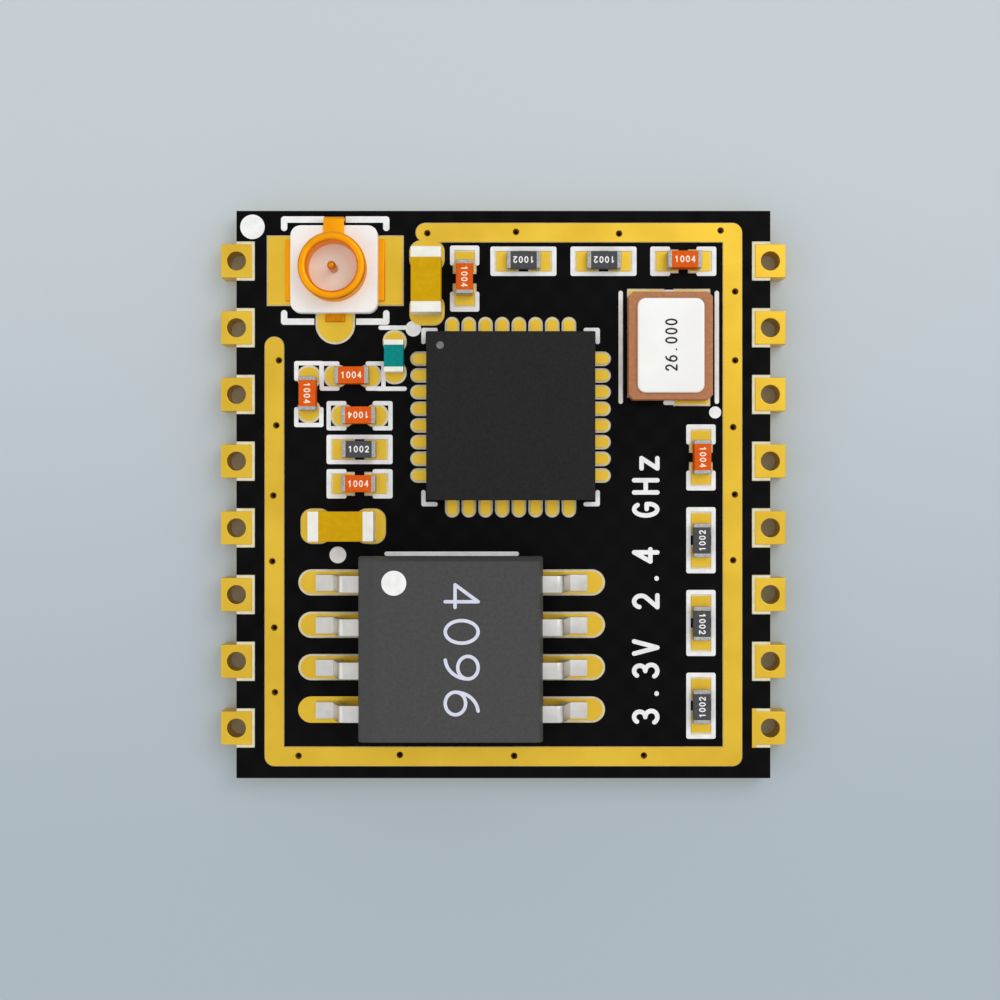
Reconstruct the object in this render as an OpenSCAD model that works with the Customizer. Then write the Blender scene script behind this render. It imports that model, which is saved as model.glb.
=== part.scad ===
// Wireless network module: a small black circuit board with eight gold contacts
// along each long edge, an antenna socket, a radio chip, a memory chip, a crystal
// and the chip resistors and capacitors around them.
// All sizes are in millimetres. The origin is at the middle of the underside,
// +Z points up, and +Y points to the end that has the antenna socket.

/* [Board] */
// Width of the board between its two contact edges
board_w = 16; // [15.8:0.1:18]
// Length of the board
board_l = 17; // [16.8:0.1:19]
// Height of the board's upper face above the underside
board_t = 0.8; // [0.6:0.1:1.6]
// Thickness of the black solder mask
mask_t = 0.025; // [0.01:0.005:0.05]
// How far the gold lands stand above the mask
land_proud = 0.01; // [0.005:0.005:0.03]
// Thickness of the white legend ink
ink_t = 0.01; // [0.01:0.005:0.03]
// Width of the legend's ordinary lines
ink_w = 0.13; // [0.1:0.01:0.2]

/* [Edge contacts] */
// Number of contacts along each edge
contact_count = 8; // [4:1:8]
// Distance from one contact to the next
contact_pitch = 2; // [1.5:0.05:2.05]
// Width of a contact along the edge
contact_w = 1; // [0.9:0.05:1.2]
// How far a contact stands out past the board's edge
contact_out = 0.46; // [0.42:0.02:0.6]
// How far a contact's face reaches inwards from the edge
contact_in = 0.46; // [0.42:0.02:0.6]
// Diameter of the hole through a contact
contact_hole_d = 0.56; // [0.4:0.02:0.7]
// Thickness of the gold-plated wall around a contact and in its hole
plating_t = 0.035; // [0.02:0.005:0.06]
// Width of bare laminate left around a contact
contact_gap = 0.09; // [0.05:0.01:0.15]

/* [Ground ring] */
// Width of the gold ring
ring_w = 0.56; // [0.5:0.02:0.64]
// Distance from the board's side edges to the middle of the ring
ring_side = 1.135; // [1.1:0.01:1.2]
// Distance from the board's end edges to the middle of the ring
ring_end = 0.65; // [0.5:0.01:0.68]
// Width of bare laminate left beside the ring
ring_gap = 0.02; // [0.02:0.005:0.06]
// Diameter of the plated holes along the ring
via_d = 0.2; // [0.15:0.01:0.3]
// Width of the gold rim around such a hole on the underside
via_rim = 0.12; // [0.08:0.01:0.2]

/* [Radio chip] */
// Width of the square radio chip
radio_w = 5; // [4.8:0.05:5.3]
// Height of the radio chip above its lands
radio_h = 0.85; // [0.7:0.05:1]
// Gap between the underside of the moulding and the lands
radio_lift = 0.02; // [0.01:0.005:0.04]
// Number of leads along each side of the radio chip
radio_leads_side = 8; // [4:1:8]
// Distance from one radio lead to the next
radio_pitch = 0.5; // [0.46:0.01:0.52]
// Width of a radio lead
radio_lead_w = 0.25; // [0.2:0.01:0.3]
// Length of a radio lead
radio_lead_l = 0.4; // [0.3:0.05:0.5]
// Thickness of the radio chip's leads and heat pad
radio_frame_t = 0.2; // [0.15:0.01:0.25]
// Width of the square heat pad under the radio chip
radio_pad_w = 3.3; // [2.5:0.1:3.4]
// How far a radio land reaches out past the moulding
radio_reach = 0.44; // [0.3:0.02:0.5]
// How far a radio land reaches in under the moulding
radio_under = 0.5; // [0.4:0.02:0.55]
// How much wider a radio land is than its lead
radio_land_extra = 0.05; // [0.02:0.01:0.08]
// Diameter of the dimple that marks the first lead
dimple_d = 0.23; // [0.15:0.01:0.4]
// Depth of that dimple
dimple_t = 0.03; // [0.02:0.01:0.1]
// Distance from the moulding's corner edges to the dimple
dimple_in = 0.42; // [0.3:0.01:0.6]

/* [Memory chip] */
// Width of the memory chip's moulding across the leads
memory_w = 5.42; // [5.2:0.02:5.6]
// Length of the memory chip's moulding along the leads
memory_l = 5.46; // [5.2:0.02:5.6]
// Height of the moulding
memory_h = 1.87; // [1.5:0.05:2]
// Gap under the moulding
memory_lift = 0.1; // [0.05:0.01:0.2]
// How far the moulding's sides lean in above and below the leads
memory_draft = 0.12; // [0.05:0.01:0.2]
// Width of the sloping edge that marks the first lead's side
memory_bevel = 0.4; // [0.3:0.02:0.6]
// Depth of that sloping edge
memory_bevel_t = 0.32; // [0.2:0.02:0.5]
// Number of leads along each side of the memory chip
memory_leads_side = 4; // [2:1:4]
// Distance from one memory lead to the next
memory_pitch = 1.27; // [1.1:0.01:1.3]
// Width of a memory lead
memory_lead_w = 0.5; // [0.35:0.01:0.55]
// Thickness of a memory lead
memory_lead_t = 0.2; // [0.12:0.01:0.25]
// Width across the tips of the memory leads
memory_span = 8.1; // [7.9:0.02:8.3]
// Length of a lead's foot
memory_foot = 0.58; // [0.4:0.01:0.6]
// Length of a lead's level shoulder beside the moulding
memory_shoulder = 0.5; // [0.3:0.01:0.55]
// Length of a lead inside the moulding
memory_root = 0.5; // [0.3:0.05:0.8]
// Width of a memory land
memory_land_w = 0.65; // [0.6:0.01:0.7]
// How far a memory land reaches out past the lead's tip
memory_reach = 0.48; // [0.3:0.01:0.5]
// How far a memory land reaches in from the lead's heel
memory_under = 0.73; // [0.6:0.01:0.9]

/* [Crystal] */
// Width of the crystal's ceramic base
crystal_w = 2.5; // [2.4:0.02:2.6]
// Length of the crystal's ceramic base
crystal_l = 3.2; // [3.1:0.02:3.3]
// Height of the ceramic base
crystal_h = 0.58; // [0.5:0.02:0.8]
// Size of the cut at each corner of the base
crystal_cut = 0.14; // [0.1:0.01:0.2]
// Thickness of the crystal's terminals
crystal_pad_t = 0.03; // [0.02:0.01:0.05]
// Width of the base's wall around its cavity
crystal_wall = 0.4; // [0.3:0.02:0.5]
// Thickness of the base's floor
crystal_floor = 0.2; // [0.1:0.01:0.3]
// Distance from the base's sides to the lid's edge
lid_side_in = 0.25; // [0.15:0.01:0.28]
// Distance from the base's ends to the lid's edge
lid_end_in = 0.19; // [0.15:0.01:0.28]
// Thickness of the lid
lid_t = 0.1; // [0.05:0.01:0.15]
// Corner radius of the lid
lid_r = 0.25; // [0.05:0.01:0.3]
// Width of the quartz blank
blank_w = 1.3; // [1:0.05:1.4]
// Length of the quartz blank
blank_l = 1.9; // [1.5:0.05:2.1]
// Thickness of the quartz blank
blank_t = 0.06; // [0.04:0.01:0.1]
// Width of the two dots of adhesive that hold the blank
glue_w = 0.3; // [0.2:0.02:0.4]
// Height of those dots
glue_t = 0.1; // [0.05:0.01:0.15]

/* [Antenna socket] */
// Width of the socket's square white base
socket_w = 2.6; // [2.5:0.02:2.7]
// Corner radius of that base
socket_r = 0.3; // [0.2:0.01:0.4]
// Height of that base
socket_h = 0.4; // [0.35:0.01:0.5]
// Outer diameter of the socket's gold ring
shell_d = 2; // [1.9:0.02:2.1]
// Wall of the gold ring
shell_wall = 0.26; // [0.2:0.01:0.3]
// Height of the gold ring above the base
shell_rise = 0.8; // [0.7:0.02:0.9]
// Depth of the groove that holds the plug
shell_groove = 0.05; // [0.02:0.01:0.08]
// Distance from the ring's top down to that groove
shell_lip = 0.35; // [0.3:0.01:0.4]
// Height of that groove
shell_groove_h = 0.2; // [0.1:0.01:0.25]
// Thickness of the socket's sheet metal
sheet_t = 0.1; // [0.06:0.01:0.12]
// Width of the strap over the base
strap_w = 0.61; // [0.5:0.01:0.7]
// Width of the two side legs
side_leg_w = 1.84; // [1.6:0.02:1.9]
// How far each side leg stands out past the base
leg_out = 0.19; // [0.1:0.01:0.25]
// How far the signal leg stands out past the base
signal_leg_out = 0.24; // [0.15:0.01:0.27]
// How far the strap stands out past the base
strap_out = 0.25; // [0.15:0.01:0.27]
// Diameter of the centre pin
pin_d = 0.25; // [0.2:0.01:0.35]
// Height of the centre pin above the base
pin_rise = 0.87; // [0.7:0.01:0.9]
// Width of the signal leg
signal_leg_w = 0.59; // [0.5:0.01:0.65]
// Plastic left between the signal leg and the gold shell
socket_gap = 0.12; // [0.08:0.01:0.15]

/* [Small chips] */
// Length of a small resistor or capacitor
chip_l = 1.02; // [0.96:0.01:1.06]
// Width of a small resistor or capacitor
chip_w = 0.52; // [0.46:0.01:0.56]
// Height of a small resistor
resistor_h = 0.35; // [0.3:0.01:0.4]
// Height of a small capacitor
capacitor_h = 0.5; // [0.4:0.01:0.6]
// Length of a small chip's metal ends
chip_end = 0.13; // [0.1:0.01:0.2]
// Length of the inductor
inductor_l = 0.97; // [0.9:0.01:1.06]
// Width of the inductor
inductor_w = 0.59; // [0.5:0.01:0.62]
// Height of the inductor
inductor_h = 0.5; // [0.4:0.01:0.6]
// Length of the inductor's metal ends
inductor_end = 0.17; // [0.1:0.01:0.25]
// Length of a bulk capacitor
bulk_l = 1.95; // [1.9:0.01:2]
// Width of a bulk capacitor
bulk_w = 0.9; // [0.8:0.01:1]
// Height of a bulk capacitor
bulk_h = 0.9; // [0.7:0.02:1.1]
// Length of a bulk capacitor's metal ends
bulk_end = 0.33; // [0.2:0.01:0.4]
// Thickness of the metal on a chip's ends
end_t = 0.02; // [0.01:0.005:0.03]
// Width of bare laminate left around a land
land_gap = 0.07; // [0.05:0.005:0.09]

/* [Hidden] */
copper_t = mask_t + land_proud;         // the copper and the gold on it
laminate_t = board_t - copper_t;        // the glass-fibre core, above the lower copper
z_core = copper_t;                      // lower face of the laminate
z_mask = board_t + mask_t;              // upper face of the solder mask
z_seat = board_t + copper_t;            // upper face of the lands, where the parts sit
cut = 0.01;                             // how far a cut runs past the face it opens
round_fn = 32;                          // facets asked for on small round shapes

contact_y = [for (i = [0:contact_count - 1]) contact_pitch * ((contact_count - 1) / 2 - i)];

// each kind's own size: length, width, height, length of its metal ends
RESISTOR = [chip_l, chip_w, resistor_h, chip_end];
CAPACITOR = [chip_l, chip_w, capacitor_h, chip_end];
INDUCTOR = [inductor_l, inductor_w, inductor_h, inductor_end];
BULK_CAPACITOR = [bulk_l, bulk_w, bulk_h, bulk_end];

// each kind's lands: length, width, reach past the chip's end, corner radius if round
SMALL_LANDS = [0.59, 0.58, 0.29, 0.26];
INDUCTOR_LANDS = [0.58, 0.58, 0.26, 0.26];
BULK_LANDS = [0.9, 1.03, 0.29, 0.33];
small_foot = chip_l + 2 * SMALL_LANDS[2];   // length over both lands
bulk_foot = bulk_l + 2 * BULK_LANDS[2];

crystal_pad = [0.9, 0.8];
crystal_pad_in = 0.08;                  // from the base's edge to a terminal
crystal_land = [0.98, 1.2];
crystal_land_out = [-0.07, 0.09];       // how far a land reaches past the base's edge
crystal_foot = crystal_w + 2 * crystal_land_out[0];
crystal_short = 0.25;                   // how much shorter the fourth land is
crystal_z = z_seat + crystal_pad_t;

socket_top = z_seat + socket_h;
socket_land = [1.02, 2.05];
socket_land_in = 1;                     // from the socket's middle to a side land
socket_land_gap = 0.035;                // bare laminate beside a side land
signal_land_w = 1.05;
signal_land_out = 0.84;                 // how far the signal land reaches past the base

radio_land_w = radio_lead_w + radio_land_extra;
radio_foot = radio_w + 2 * radio_reach;

memory_z = z_seat + memory_lift;        // underside of the memory chip's moulding
memory_heel = memory_span / 2 - memory_foot;
memory_lead_z = memory_z + memory_h / 2;
memory_dot_d = 0.72;                    // the painted dot on the moulding
memory_dot_in = [0.58, 0.63];           // from the upper face's corner to that dot

// ---------- where the pieces stand, all worked out from the board's size ----------

ring_x = board_w / 2 - ring_side;
ring_y = board_l / 2 - ring_end;
ring_in_x = ring_x - ring_w / 2;        // the ring's inner edges
ring_in_y = ring_y - ring_w / 2;

// The first n + 1 numbers of a list, added up
function sum(list, n) = n < 0 ? 0 : list[n] + sum(list, n - 1);
function total(list) = sum(list, len(list) - 1);

// The middle of piece i in a row from start to stop. The pieces have the widths given, and
// the room they leave is shared out before, between and after them as gaps says.
function in_row(i, widths, gaps, start, stop) =
    start + sum(widths, i) - widths[i] / 2
    + (stop - start - total(widths)) * sum(gaps, i) / total(gaps);

socket_in = [2.96, 1.14];               // from the left edge, and from the ring's middle line
socket_at = [-board_w / 2 + socket_in[0], ring_y - socket_in[1]];
bulk_1_in = 1.51;                       // from the ring's middle line, as the next two are
capacitor_1_in = 1.38;
top_row_in = 0.86;
bulk_1_y = ring_y - bulk_1_in;
top_row_y = ring_y - top_row_in;

// Up the middle of the board: memory chip, radio chip, first bulk capacitor
middle_gaps = [0.3, 1.63, 0.545];
function up_middle(i) = in_row(i, [memory_l, radio_w], middle_gaps,
                               -ring_in_y, bulk_1_y - bulk_l / 2);
memory_in = 5.315;                      // from the ring's middle line to the memory chip's
memory_at = [-ring_x + memory_in, up_middle(0)];
radio_y = up_middle(1);

// Across the board: capacitor 4, capacitor 3, inductor, radio chip, crystal
across_gaps = [0.465, 0.22, 0.17, 0.245, 0.62, 0.45];
function across_board(i) = in_row(i, [SMALL_LANDS[1], small_foot, INDUCTOR_LANDS[1], radio_foot,
                                      crystal_foot], across_gaps, -ring_in_x, ring_in_x);
crystal_up = 2.09;                      // how much higher the crystal stands than the radio chip
radio_at = [across_board(3), radio_y];
crystal_at = [across_board(4), radio_y + crystal_up];

// Along the upper edge, from the socket's land: bulk capacitor 1, capacitor 1,
// resistors 1 and 2, capacitor 2
top_gaps = [0.215, 0.325, 0.67, 0.8, 0.79, 0.395];
function along_top(i) = in_row(i, [BULK_LANDS[1], SMALL_LANDS[1], small_foot, small_foot,
                                   small_foot], top_gaps,
                               socket_at[0] + socket_land_in + socket_land[0], ring_in_x);

// Up the left side, from the memory chip's uppermost land to the signal land:
// bulk capacitor 2, capacitor 6, resistor 3, capacitors 5 and 3
left_gaps = [0.845, 0.465, 0.45, 0.43, 0.61, 0.73];
function up_left(i) = in_row(i, [BULK_LANDS[1], for (k = [1:4]) SMALL_LANDS[1]], left_gaps,
                             memory_at[1] + memory_pitch * (memory_leads_side - 1) / 2
                             + memory_land_w / 2,
                             socket_at[1] - socket_w / 2 - signal_land_out);

// How far some pieces stand from capacitor 3, which is in the left side's row
left_row_out = 0.21;
bulk_2_out = -0.28;
capacitor_4_up = -0.54;
inductor_up = 0.57;
left_x = across_board(1) + left_row_out;

// Down the right side: capacitor 7 and resistors 4, 5 and 6, at even steps
right_in = 0.945;                       // from the ring's middle line
right_top_down = 1.21;                  // from the radio chip's middle down to the first
right_bottom_in = 1.52;                 // from the ring's middle line up to the last
right_x = ring_x - right_in;
function down_right(i) = (radio_y - right_top_down) * (1 - i / 3)
                         + (right_bottom_in - ring_y) * i / 3;

// name, x, y, turn, and whether the land's corners are round
RESISTORS = [
    ["resistor_1", along_top(2), top_row_y, 0, false],
    ["resistor_2", along_top(3), top_row_y, 0, false],
    ["resistor_3", left_x, up_left(2), 0, false],
    ["resistor_4", right_x, down_right(1), 90, false],
    ["resistor_5", right_x, down_right(2), 90, false],
    ["resistor_6", right_x, down_right(3), 90, false],
];
CAPACITORS = [
    ["capacitor_1", along_top(1), ring_y - capacitor_1_in, 90, false],
    ["capacitor_2", along_top(4), top_row_y, 0, false],
    ["capacitor_3", across_board(1), up_left(4), 0, true],
    ["capacitor_4", across_board(0), up_left(4) + capacitor_4_up, 90, true],
    ["capacitor_5", left_x, up_left(3), 0, true],
    ["capacitor_6", left_x, up_left(1), 0, false],
    ["capacitor_7", right_x, down_right(0), 90, false],
];
BULK = [
    ["bulk_capacitor_1", along_top(0), bulk_1_y, 90, true],
    ["bulk_capacitor_2", across_board(1) + bulk_2_out, up_left(0), 0, true],
];
INDUCTORS = [["inductor_1", across_board(2), up_left(4) + inductor_up, 90, true]];
CHIPS = concat(RESISTORS, CAPACITORS, INDUCTORS, BULK);

// The ring starts over the first bulk capacitor and stops below the antenna socket
ring_start_in = 0.05;                   // from that capacitor's middle line
ring_stop_down = 2.27;                  // from the socket's middle
ring_start_x = BULK[0][1] - ring_start_in;
ring_stop_y = socket_at[1] - ring_stop_down;
ring_path = [[ring_start_x, ring_y], [ring_x, ring_y], [ring_x, -ring_y],
             [-ring_x, -ring_y], [-ring_x, ring_stop_y]];

// The plated holes along the ring: how far each stands from the board's middle, as a share
// of the way to the ring's corner, and how far out from the ring's middle line
vias_top = [[-0.332, -0.02], [0.055, 0.02], [0.505, -0.03], [0.948, 0.06]];
vias_right = [[0.775, 0.08], [0.512, 0.08], [0.257, 0.02], [0, 0.07], [-0.251, 0.02]];
vias_bottom = [[-0.894, -0.02], [-0.452, -0.05], [0.047, -0.02], [0.613, -0.03]];
vias_left = [[0.512, -0.14], [0.264, -0.06], [-0.004, 0.03], [-0.255, 0.06], [-0.508, 0],
             [-0.755, -0.02]];
via_places = concat([for (v = vias_top) [v[0] * ring_x, ring_y + v[1]]],
                    [for (v = vias_right) [ring_x + v[1], v[0] * ring_y]],
                    [for (v = vias_bottom) [v[0] * ring_x, -ring_y - v[1]]],
                    [for (v = vias_left) [-ring_x - v[1], v[0] * ring_y]]);

// ---------- the legend's own sizes ----------

frame_gap = [0.06, 0.02];               // from a chip's land to the line round it
bracket_arm = 0.47;                     // length of the arms of a capacitor's bracket
inductor_lines = [[0, -0.5, 0.42], [0.07, -0.3, 0.5]];  // how far out, start and stop
radio_corner_out = 0.11;                // from the moulding to the line at its corners
radio_corner_arm = 0.36;
radio_dot_d = 0.47;
radio_dot_out = [0.415, 0.15];          // from the moulding's corner to its dot
memory_line_l = 3.9;
memory_line_out = 0.035;
memory_mark_d = 0.5;                    // the printed dot above the first lead
memory_mark_in = 0.64;                  // from the lead's tip to that dot
crystal_line_out = [0.19, 0.03];        // from the crystal to the lines beside it
crystal_dash_l = 0.2;                   // the dashes between its lands
crystal_dash_out = 0.06;
crystal_dot_d = 0.36;
crystal_dot_out = [0.14, 0.35];         // from the crystal's corner to its dot
socket_line_w = 0.19;                   // the heavier line round the antenna socket
socket_line_out = 0.23;
socket_line_arm = 0.25;
corner_dot_d = 0.734;                   // the dot at the board's first contact
corner_dot_in = 0.48;

// ---------- flat outlines ----------

// A w by l outline about the origin, with round corners where r is above zero
module plate(w, l, r = 0) {
    if (r > 0) {
        square([w - 2 * r, l], center = true);
        square([w, l - 2 * r], center = true);
        for (sx = [-1, 1], sy = [-1, 1])
            translate([sx * (w / 2 - r), sy * (l / 2 - r)]) circle(r, $fn = round_fn);
    } else {
        square([w, l], center = true);
    }
}

// A tongue along +X, square where it starts and half round where it stops
module tongue(start, stop, w) {
    translate([start, -w / 2]) square([stop - w / 2 - start, w]);
    translate([stop - w / 2, 0]) circle(w / 2, $fn = round_fn);
}

// A line of width w through points, with round ends and round outer corners
module line(points, w) {
    for (p = points) translate(p) circle(w / 2, $fn = round_fn);
    for (i = [1:len(points) - 1]) {
        step = points[i] - points[i - 1];
        translate(points[i - 1]) rotate(atan2(step[1], step[0]))
            translate([0, -w / 2]) square([norm(step), w]);
    }
}

// ---------- places ----------

// Children stand at each radio lead, with the moulding's edge on X and -Y pointing out
module at_radio_leads() {
    for (side = [0:3], i = [0:radio_leads_side - 1])
        translate(radio_at) rotate(90 * side)
            translate([radio_pitch * (i - (radio_leads_side - 1) / 2), -radio_w / 2]) children();
}

// Children stand on each memory lead's centre line, with +X pointing out
module at_memory_leads() {
    for (side = [0, 180], i = [0:memory_leads_side - 1])
        translate(memory_at) rotate(side)
            translate([0, memory_pitch * (i - (memory_leads_side - 1) / 2)]) children();
}

// Children stand at one chip's middle, turned as the chip is
module at_chip(chip) {
    translate([chip[1], chip[2]]) rotate(chip[3]) children();
}

// ---------- lands, and with grow above zero the mask's openings around them ----------

module ring_outline(grow) {
    line(ring_path, ring_w + 2 * grow);
    for (place = via_places)
        translate(place) circle(via_d / 2 + plating_t + grow, $fn = round_fn);
}

module radio_land_outline(grow) {
    at_radio_leads() rotate(-90)
        tongue(-radio_under - grow, radio_reach + grow, radio_land_w + 2 * grow);
    translate(radio_at) plate(radio_pad_w + 2 * grow, radio_pad_w + 2 * grow);
}

module memory_land_outline(grow) {
    start = memory_heel - memory_under;
    stop = memory_span / 2 + memory_reach;
    at_memory_leads() tongue(start - grow, stop + grow, memory_land_w + 2 * grow);
    // the land at the board's lower left fills its opening
    translate(memory_at) rotate(180) translate([0, memory_pitch * (memory_leads_side - 1) / 2])
        tongue(start - land_gap, stop + land_gap, memory_land_w + 2 * land_gap);
}

module crystal_land_outline(grow) {
    for (sx = [-1, 1], sy = [-1, 1]) {
        short = sx < 0 && sy < 0 ? crystal_short : 0;
        size = [crystal_land[0] + 2 * grow, crystal_land[1] - short + 2 * grow];
        place = [crystal_w / 2 + crystal_land_out[0] - crystal_land[0] / 2,
                 crystal_l / 2 + crystal_land_out[1] - (crystal_land[1] + short) / 2];
        translate([crystal_at[0] + sx * place[0], crystal_at[1] + sy * place[1]])
            plate(size[0], size[1]);
    }
}

module signal_land_outline(grow) {
    translate(socket_at) rotate(-90)
        tongue(socket_w / 2 - socket_land[0] / 2 - grow, socket_w / 2 + signal_land_out + grow,
               signal_land_w + 2 * grow);
}

module socket_side_land_outline(grow) {
    for (side = [-1, 1])
        translate([socket_at[0] + side * (socket_land_in + socket_land[0] / 2), socket_at[1]])
            plate(socket_land[0] + 2 * grow, socket_land[1] + 2 * grow);
}

module chip_land_pair(chip, size, lands, grow, ends = [-1, 1]) {
    corner = chip[4] ? lands[3] + grow : 0;
    at_chip(chip) for (end = ends)
        translate([end * (size[0] / 2 + lands[2] - lands[0] / 2), 0])
            plate(lands[0] + 2 * grow, lands[1] + 2 * grow, corner);
}

module small_land_outline(grow) {
    for (chip = RESISTORS) chip_land_pair(chip, RESISTOR, SMALL_LANDS, grow);
    for (chip = CAPACITORS) chip_land_pair(chip, CAPACITOR, SMALL_LANDS, grow);
    for (chip = INDUCTORS) chip_land_pair(chip, INDUCTOR, INDUCTOR_LANDS, grow);
}

// The ring carries the first bulk capacitor's upper land, the rest stand alone
module ring_land_outline(grow) {
    chip_land_pair(BULK[0], BULK_CAPACITOR, BULK_LANDS, grow, [1]);
}

module bulk_land_outline(grow) {
    chip_land_pair(BULK[0], BULK_CAPACITOR, BULK_LANDS, grow, [-1]);
    chip_land_pair(BULK[1], BULK_CAPACITOR, BULK_LANDS, grow);
}

module contact_outline(grow) {
    for (side = [-1, 1], y = contact_y)
        translate([side * (board_w / 2 - (contact_in - contact_out) / 2), y])
            plate(contact_in + contact_out + 2 * grow, contact_w + 2 * grow);
}

// Every land, or with open at 1 every opening in the upper mask
module every_land(open) {
    contact_outline(open * contact_gap);
    ring_outline(open * ring_gap);
    ring_land_outline(open * ring_gap);
    bulk_land_outline(open * ring_gap);
    radio_land_outline(open * land_gap);
    memory_land_outline(open * land_gap);
    crystal_land_outline(open * land_gap);
    signal_land_outline(open * land_gap);
    socket_side_land_outline(open * socket_land_gap);
    small_land_outline(open * land_gap);
}

// ---------- board ----------

module circuit_board() {
    color([0.16, 0.15, 0.12]) difference() {
        union() {
            translate([-board_w / 2, -board_l / 2, z_core]) cube([board_w, board_l, laminate_t]);
            for (side = [-1, 1], y = contact_y)
                translate([side * board_w / 2, y, z_core + laminate_t / 2])
                    cube([2 * (contact_out - plating_t), contact_w - 2 * plating_t, laminate_t],
                         center = true);
        }
        for (side = [-1, 1], y = contact_y)
            translate([side * board_w / 2, y, z_core - cut])
                cylinder(r = contact_hole_d / 2 + plating_t, h = laminate_t + 2 * cut,
                         $fn = round_fn);
        for (place = via_places)
            translate([place[0], place[1], z_core - cut])
                cylinder(r = via_d / 2 + plating_t, h = laminate_t + 2 * cut, $fn = round_fn);
    }
}

module top_solder_mask() {
    color([0.03, 0.03, 0.035]) translate([0, 0, board_t]) linear_extrude(mask_t) difference() {
        square([board_w, board_l], center = true);
        every_land(1);
    }
}

module bottom_solder_mask() {
    color([0.03, 0.03, 0.035]) linear_extrude(copper_t) difference() {
        square([board_w, board_l], center = true);
        contact_outline(contact_gap);
        for (place = via_places)
            translate(place) circle(via_d / 2 + via_rim + ring_gap, $fn = round_fn);
    }
}

// The gold track, its plated holes down through the board and their rims below
module ground_ring() {
    color([0.87, 0.71, 0.2]) difference() {
        union() {
            translate([0, 0, board_t]) linear_extrude(copper_t) {
                ring_outline(0);
                ring_land_outline(0);
            }
            for (place = via_places) translate([place[0], place[1], 0]) {
                cylinder(r = via_d / 2 + plating_t, h = board_t + cut, $fn = round_fn);
                cylinder(r = via_d / 2 + via_rim, h = copper_t, $fn = round_fn);
            }
        }
        for (place = via_places) translate([place[0], place[1], -cut])
            cylinder(r = via_d / 2, h = board_t + copper_t + 2 * cut, $fn = round_fn);
    }
}

// One contact on the right-hand edge: gold over, under and around its ear of laminate
module edge_contact() {
    difference() {
        translate([-contact_in, -contact_w / 2, 0])
            cube([contact_in + contact_out, contact_w, board_t + copper_t]);
        difference() {
            union() {
                translate([-contact_in - cut, -contact_w / 2 - cut, z_core])
                    cube([contact_in + cut, contact_w + 2 * cut, laminate_t]);
                translate([-contact_in - cut, -contact_w / 2 + plating_t, z_core])
                    cube([contact_in + cut + contact_out - plating_t,
                          contact_w - 2 * plating_t, laminate_t]);
            }
            cylinder(r = contact_hole_d / 2 + plating_t, h = board_t + copper_t, $fn = round_fn);
        }
        translate([0, 0, -cut])
            cylinder(r = contact_hole_d / 2, h = board_t + copper_t + 2 * cut, $fn = round_fn);
    }
}

module board_contacts_left() {
    color([0.87, 0.71, 0.2]) for (y = contact_y)
        translate([-board_w / 2, y]) rotate(180) edge_contact();
}

// The last contact on the right fills its opening in the mask
module board_contacts_right() {
    color([0.93, 0.78, 0.27]) {
        for (y = contact_y)
            translate([board_w / 2, y]) edge_contact();
        translate([board_w / 2 - contact_in - contact_gap,
                   contact_y[contact_count - 1] - contact_w / 2 - contact_gap, board_t])
            cube([contact_gap + cut, contact_w + 2 * contact_gap, copper_t]);
    }
}

// ---------- legend ----------

// The closed frame printed round a resistor
module frame_line(size, lands) {
    half_l = size[0] / 2 + lands[2] + frame_gap[0] + ink_w / 2;
    half_w = lands[1] / 2 + frame_gap[1] + ink_w / 2;
    line([[half_l, half_w], [-half_l, half_w], [-half_l, -half_w], [half_l, -half_w],
          [half_l, half_w]], ink_w);
}

// The two brackets printed round a capacitor
module bracket_lines(size, lands) {
    half_l = size[0] / 2 + lands[2] + frame_gap[0] + ink_w / 2;
    half_w = lands[1] / 2 + frame_gap[1] + ink_w / 2;
    for (end = [-1, 1])
        line([[end * (half_l - bracket_arm), half_w], [end * half_l, half_w],
              [end * half_l, -half_w], [end * (half_l - bracket_arm), -half_w]], ink_w);
}

// The two lines across the inductor's ends
module inductor_legend() {
    end = inductor_l / 2 + INDUCTOR_LANDS[2] + land_gap + ink_w / 2;
    at_chip(INDUCTORS[0]) for (i = [0, 1]) {
        x = (1 - 2 * i) * (end + inductor_lines[i][0]);
        line([[x, inductor_lines[i][1]], [x, inductor_lines[i][2]]], ink_w);
    }
}

module chip_legend() {
    for (chip = RESISTORS) at_chip(chip) frame_line(RESISTOR, SMALL_LANDS);
    for (chip = CAPACITORS) at_chip(chip) bracket_lines(CAPACITOR, SMALL_LANDS);
    inductor_legend();
}

module radio_legend() {
    corner = radio_w / 2 + radio_corner_out;
    near = corner - radio_corner_arm;
    translate(radio_at) {
        for (turn = [0:90:270]) rotate(turn)
            line([[near, corner], [corner, corner], [corner, near]], ink_w);
        translate([-radio_w / 2 - radio_dot_out[0], radio_w / 2 + radio_dot_out[1]])
            circle(radio_dot_d / 2, $fn = round_fn);
    }
}

module memory_legend() {
    translate([memory_at[0], memory_at[1] + memory_l / 2]) {
        line([[-memory_line_l / 2, memory_line_out], [memory_line_l / 2, memory_line_out]], ink_w);
        translate([-memory_span / 2 + memory_mark_in, 0])
            circle(memory_mark_d / 2, $fn = round_fn);
    }
}

module crystal_legend() {
    side_x = crystal_w / 2 + crystal_line_out[0];
    side_y = crystal_l / 2 + crystal_line_out[1];
    dash_y = crystal_l / 2 + crystal_dash_out;
    translate(crystal_at) {
        for (side = [-1, 1]) {
            line([[side * side_x, side_y], [side * side_x, -side_y]], ink_w);
            line([[-crystal_dash_l / 2, side * dash_y], [crystal_dash_l / 2, side * dash_y]], ink_w);
        }
        translate([crystal_w / 2 + crystal_dot_out[0], -crystal_l / 2 - crystal_dot_out[1]])
            circle(crystal_dot_d / 2, $fn = round_fn);
    }
}

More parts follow.
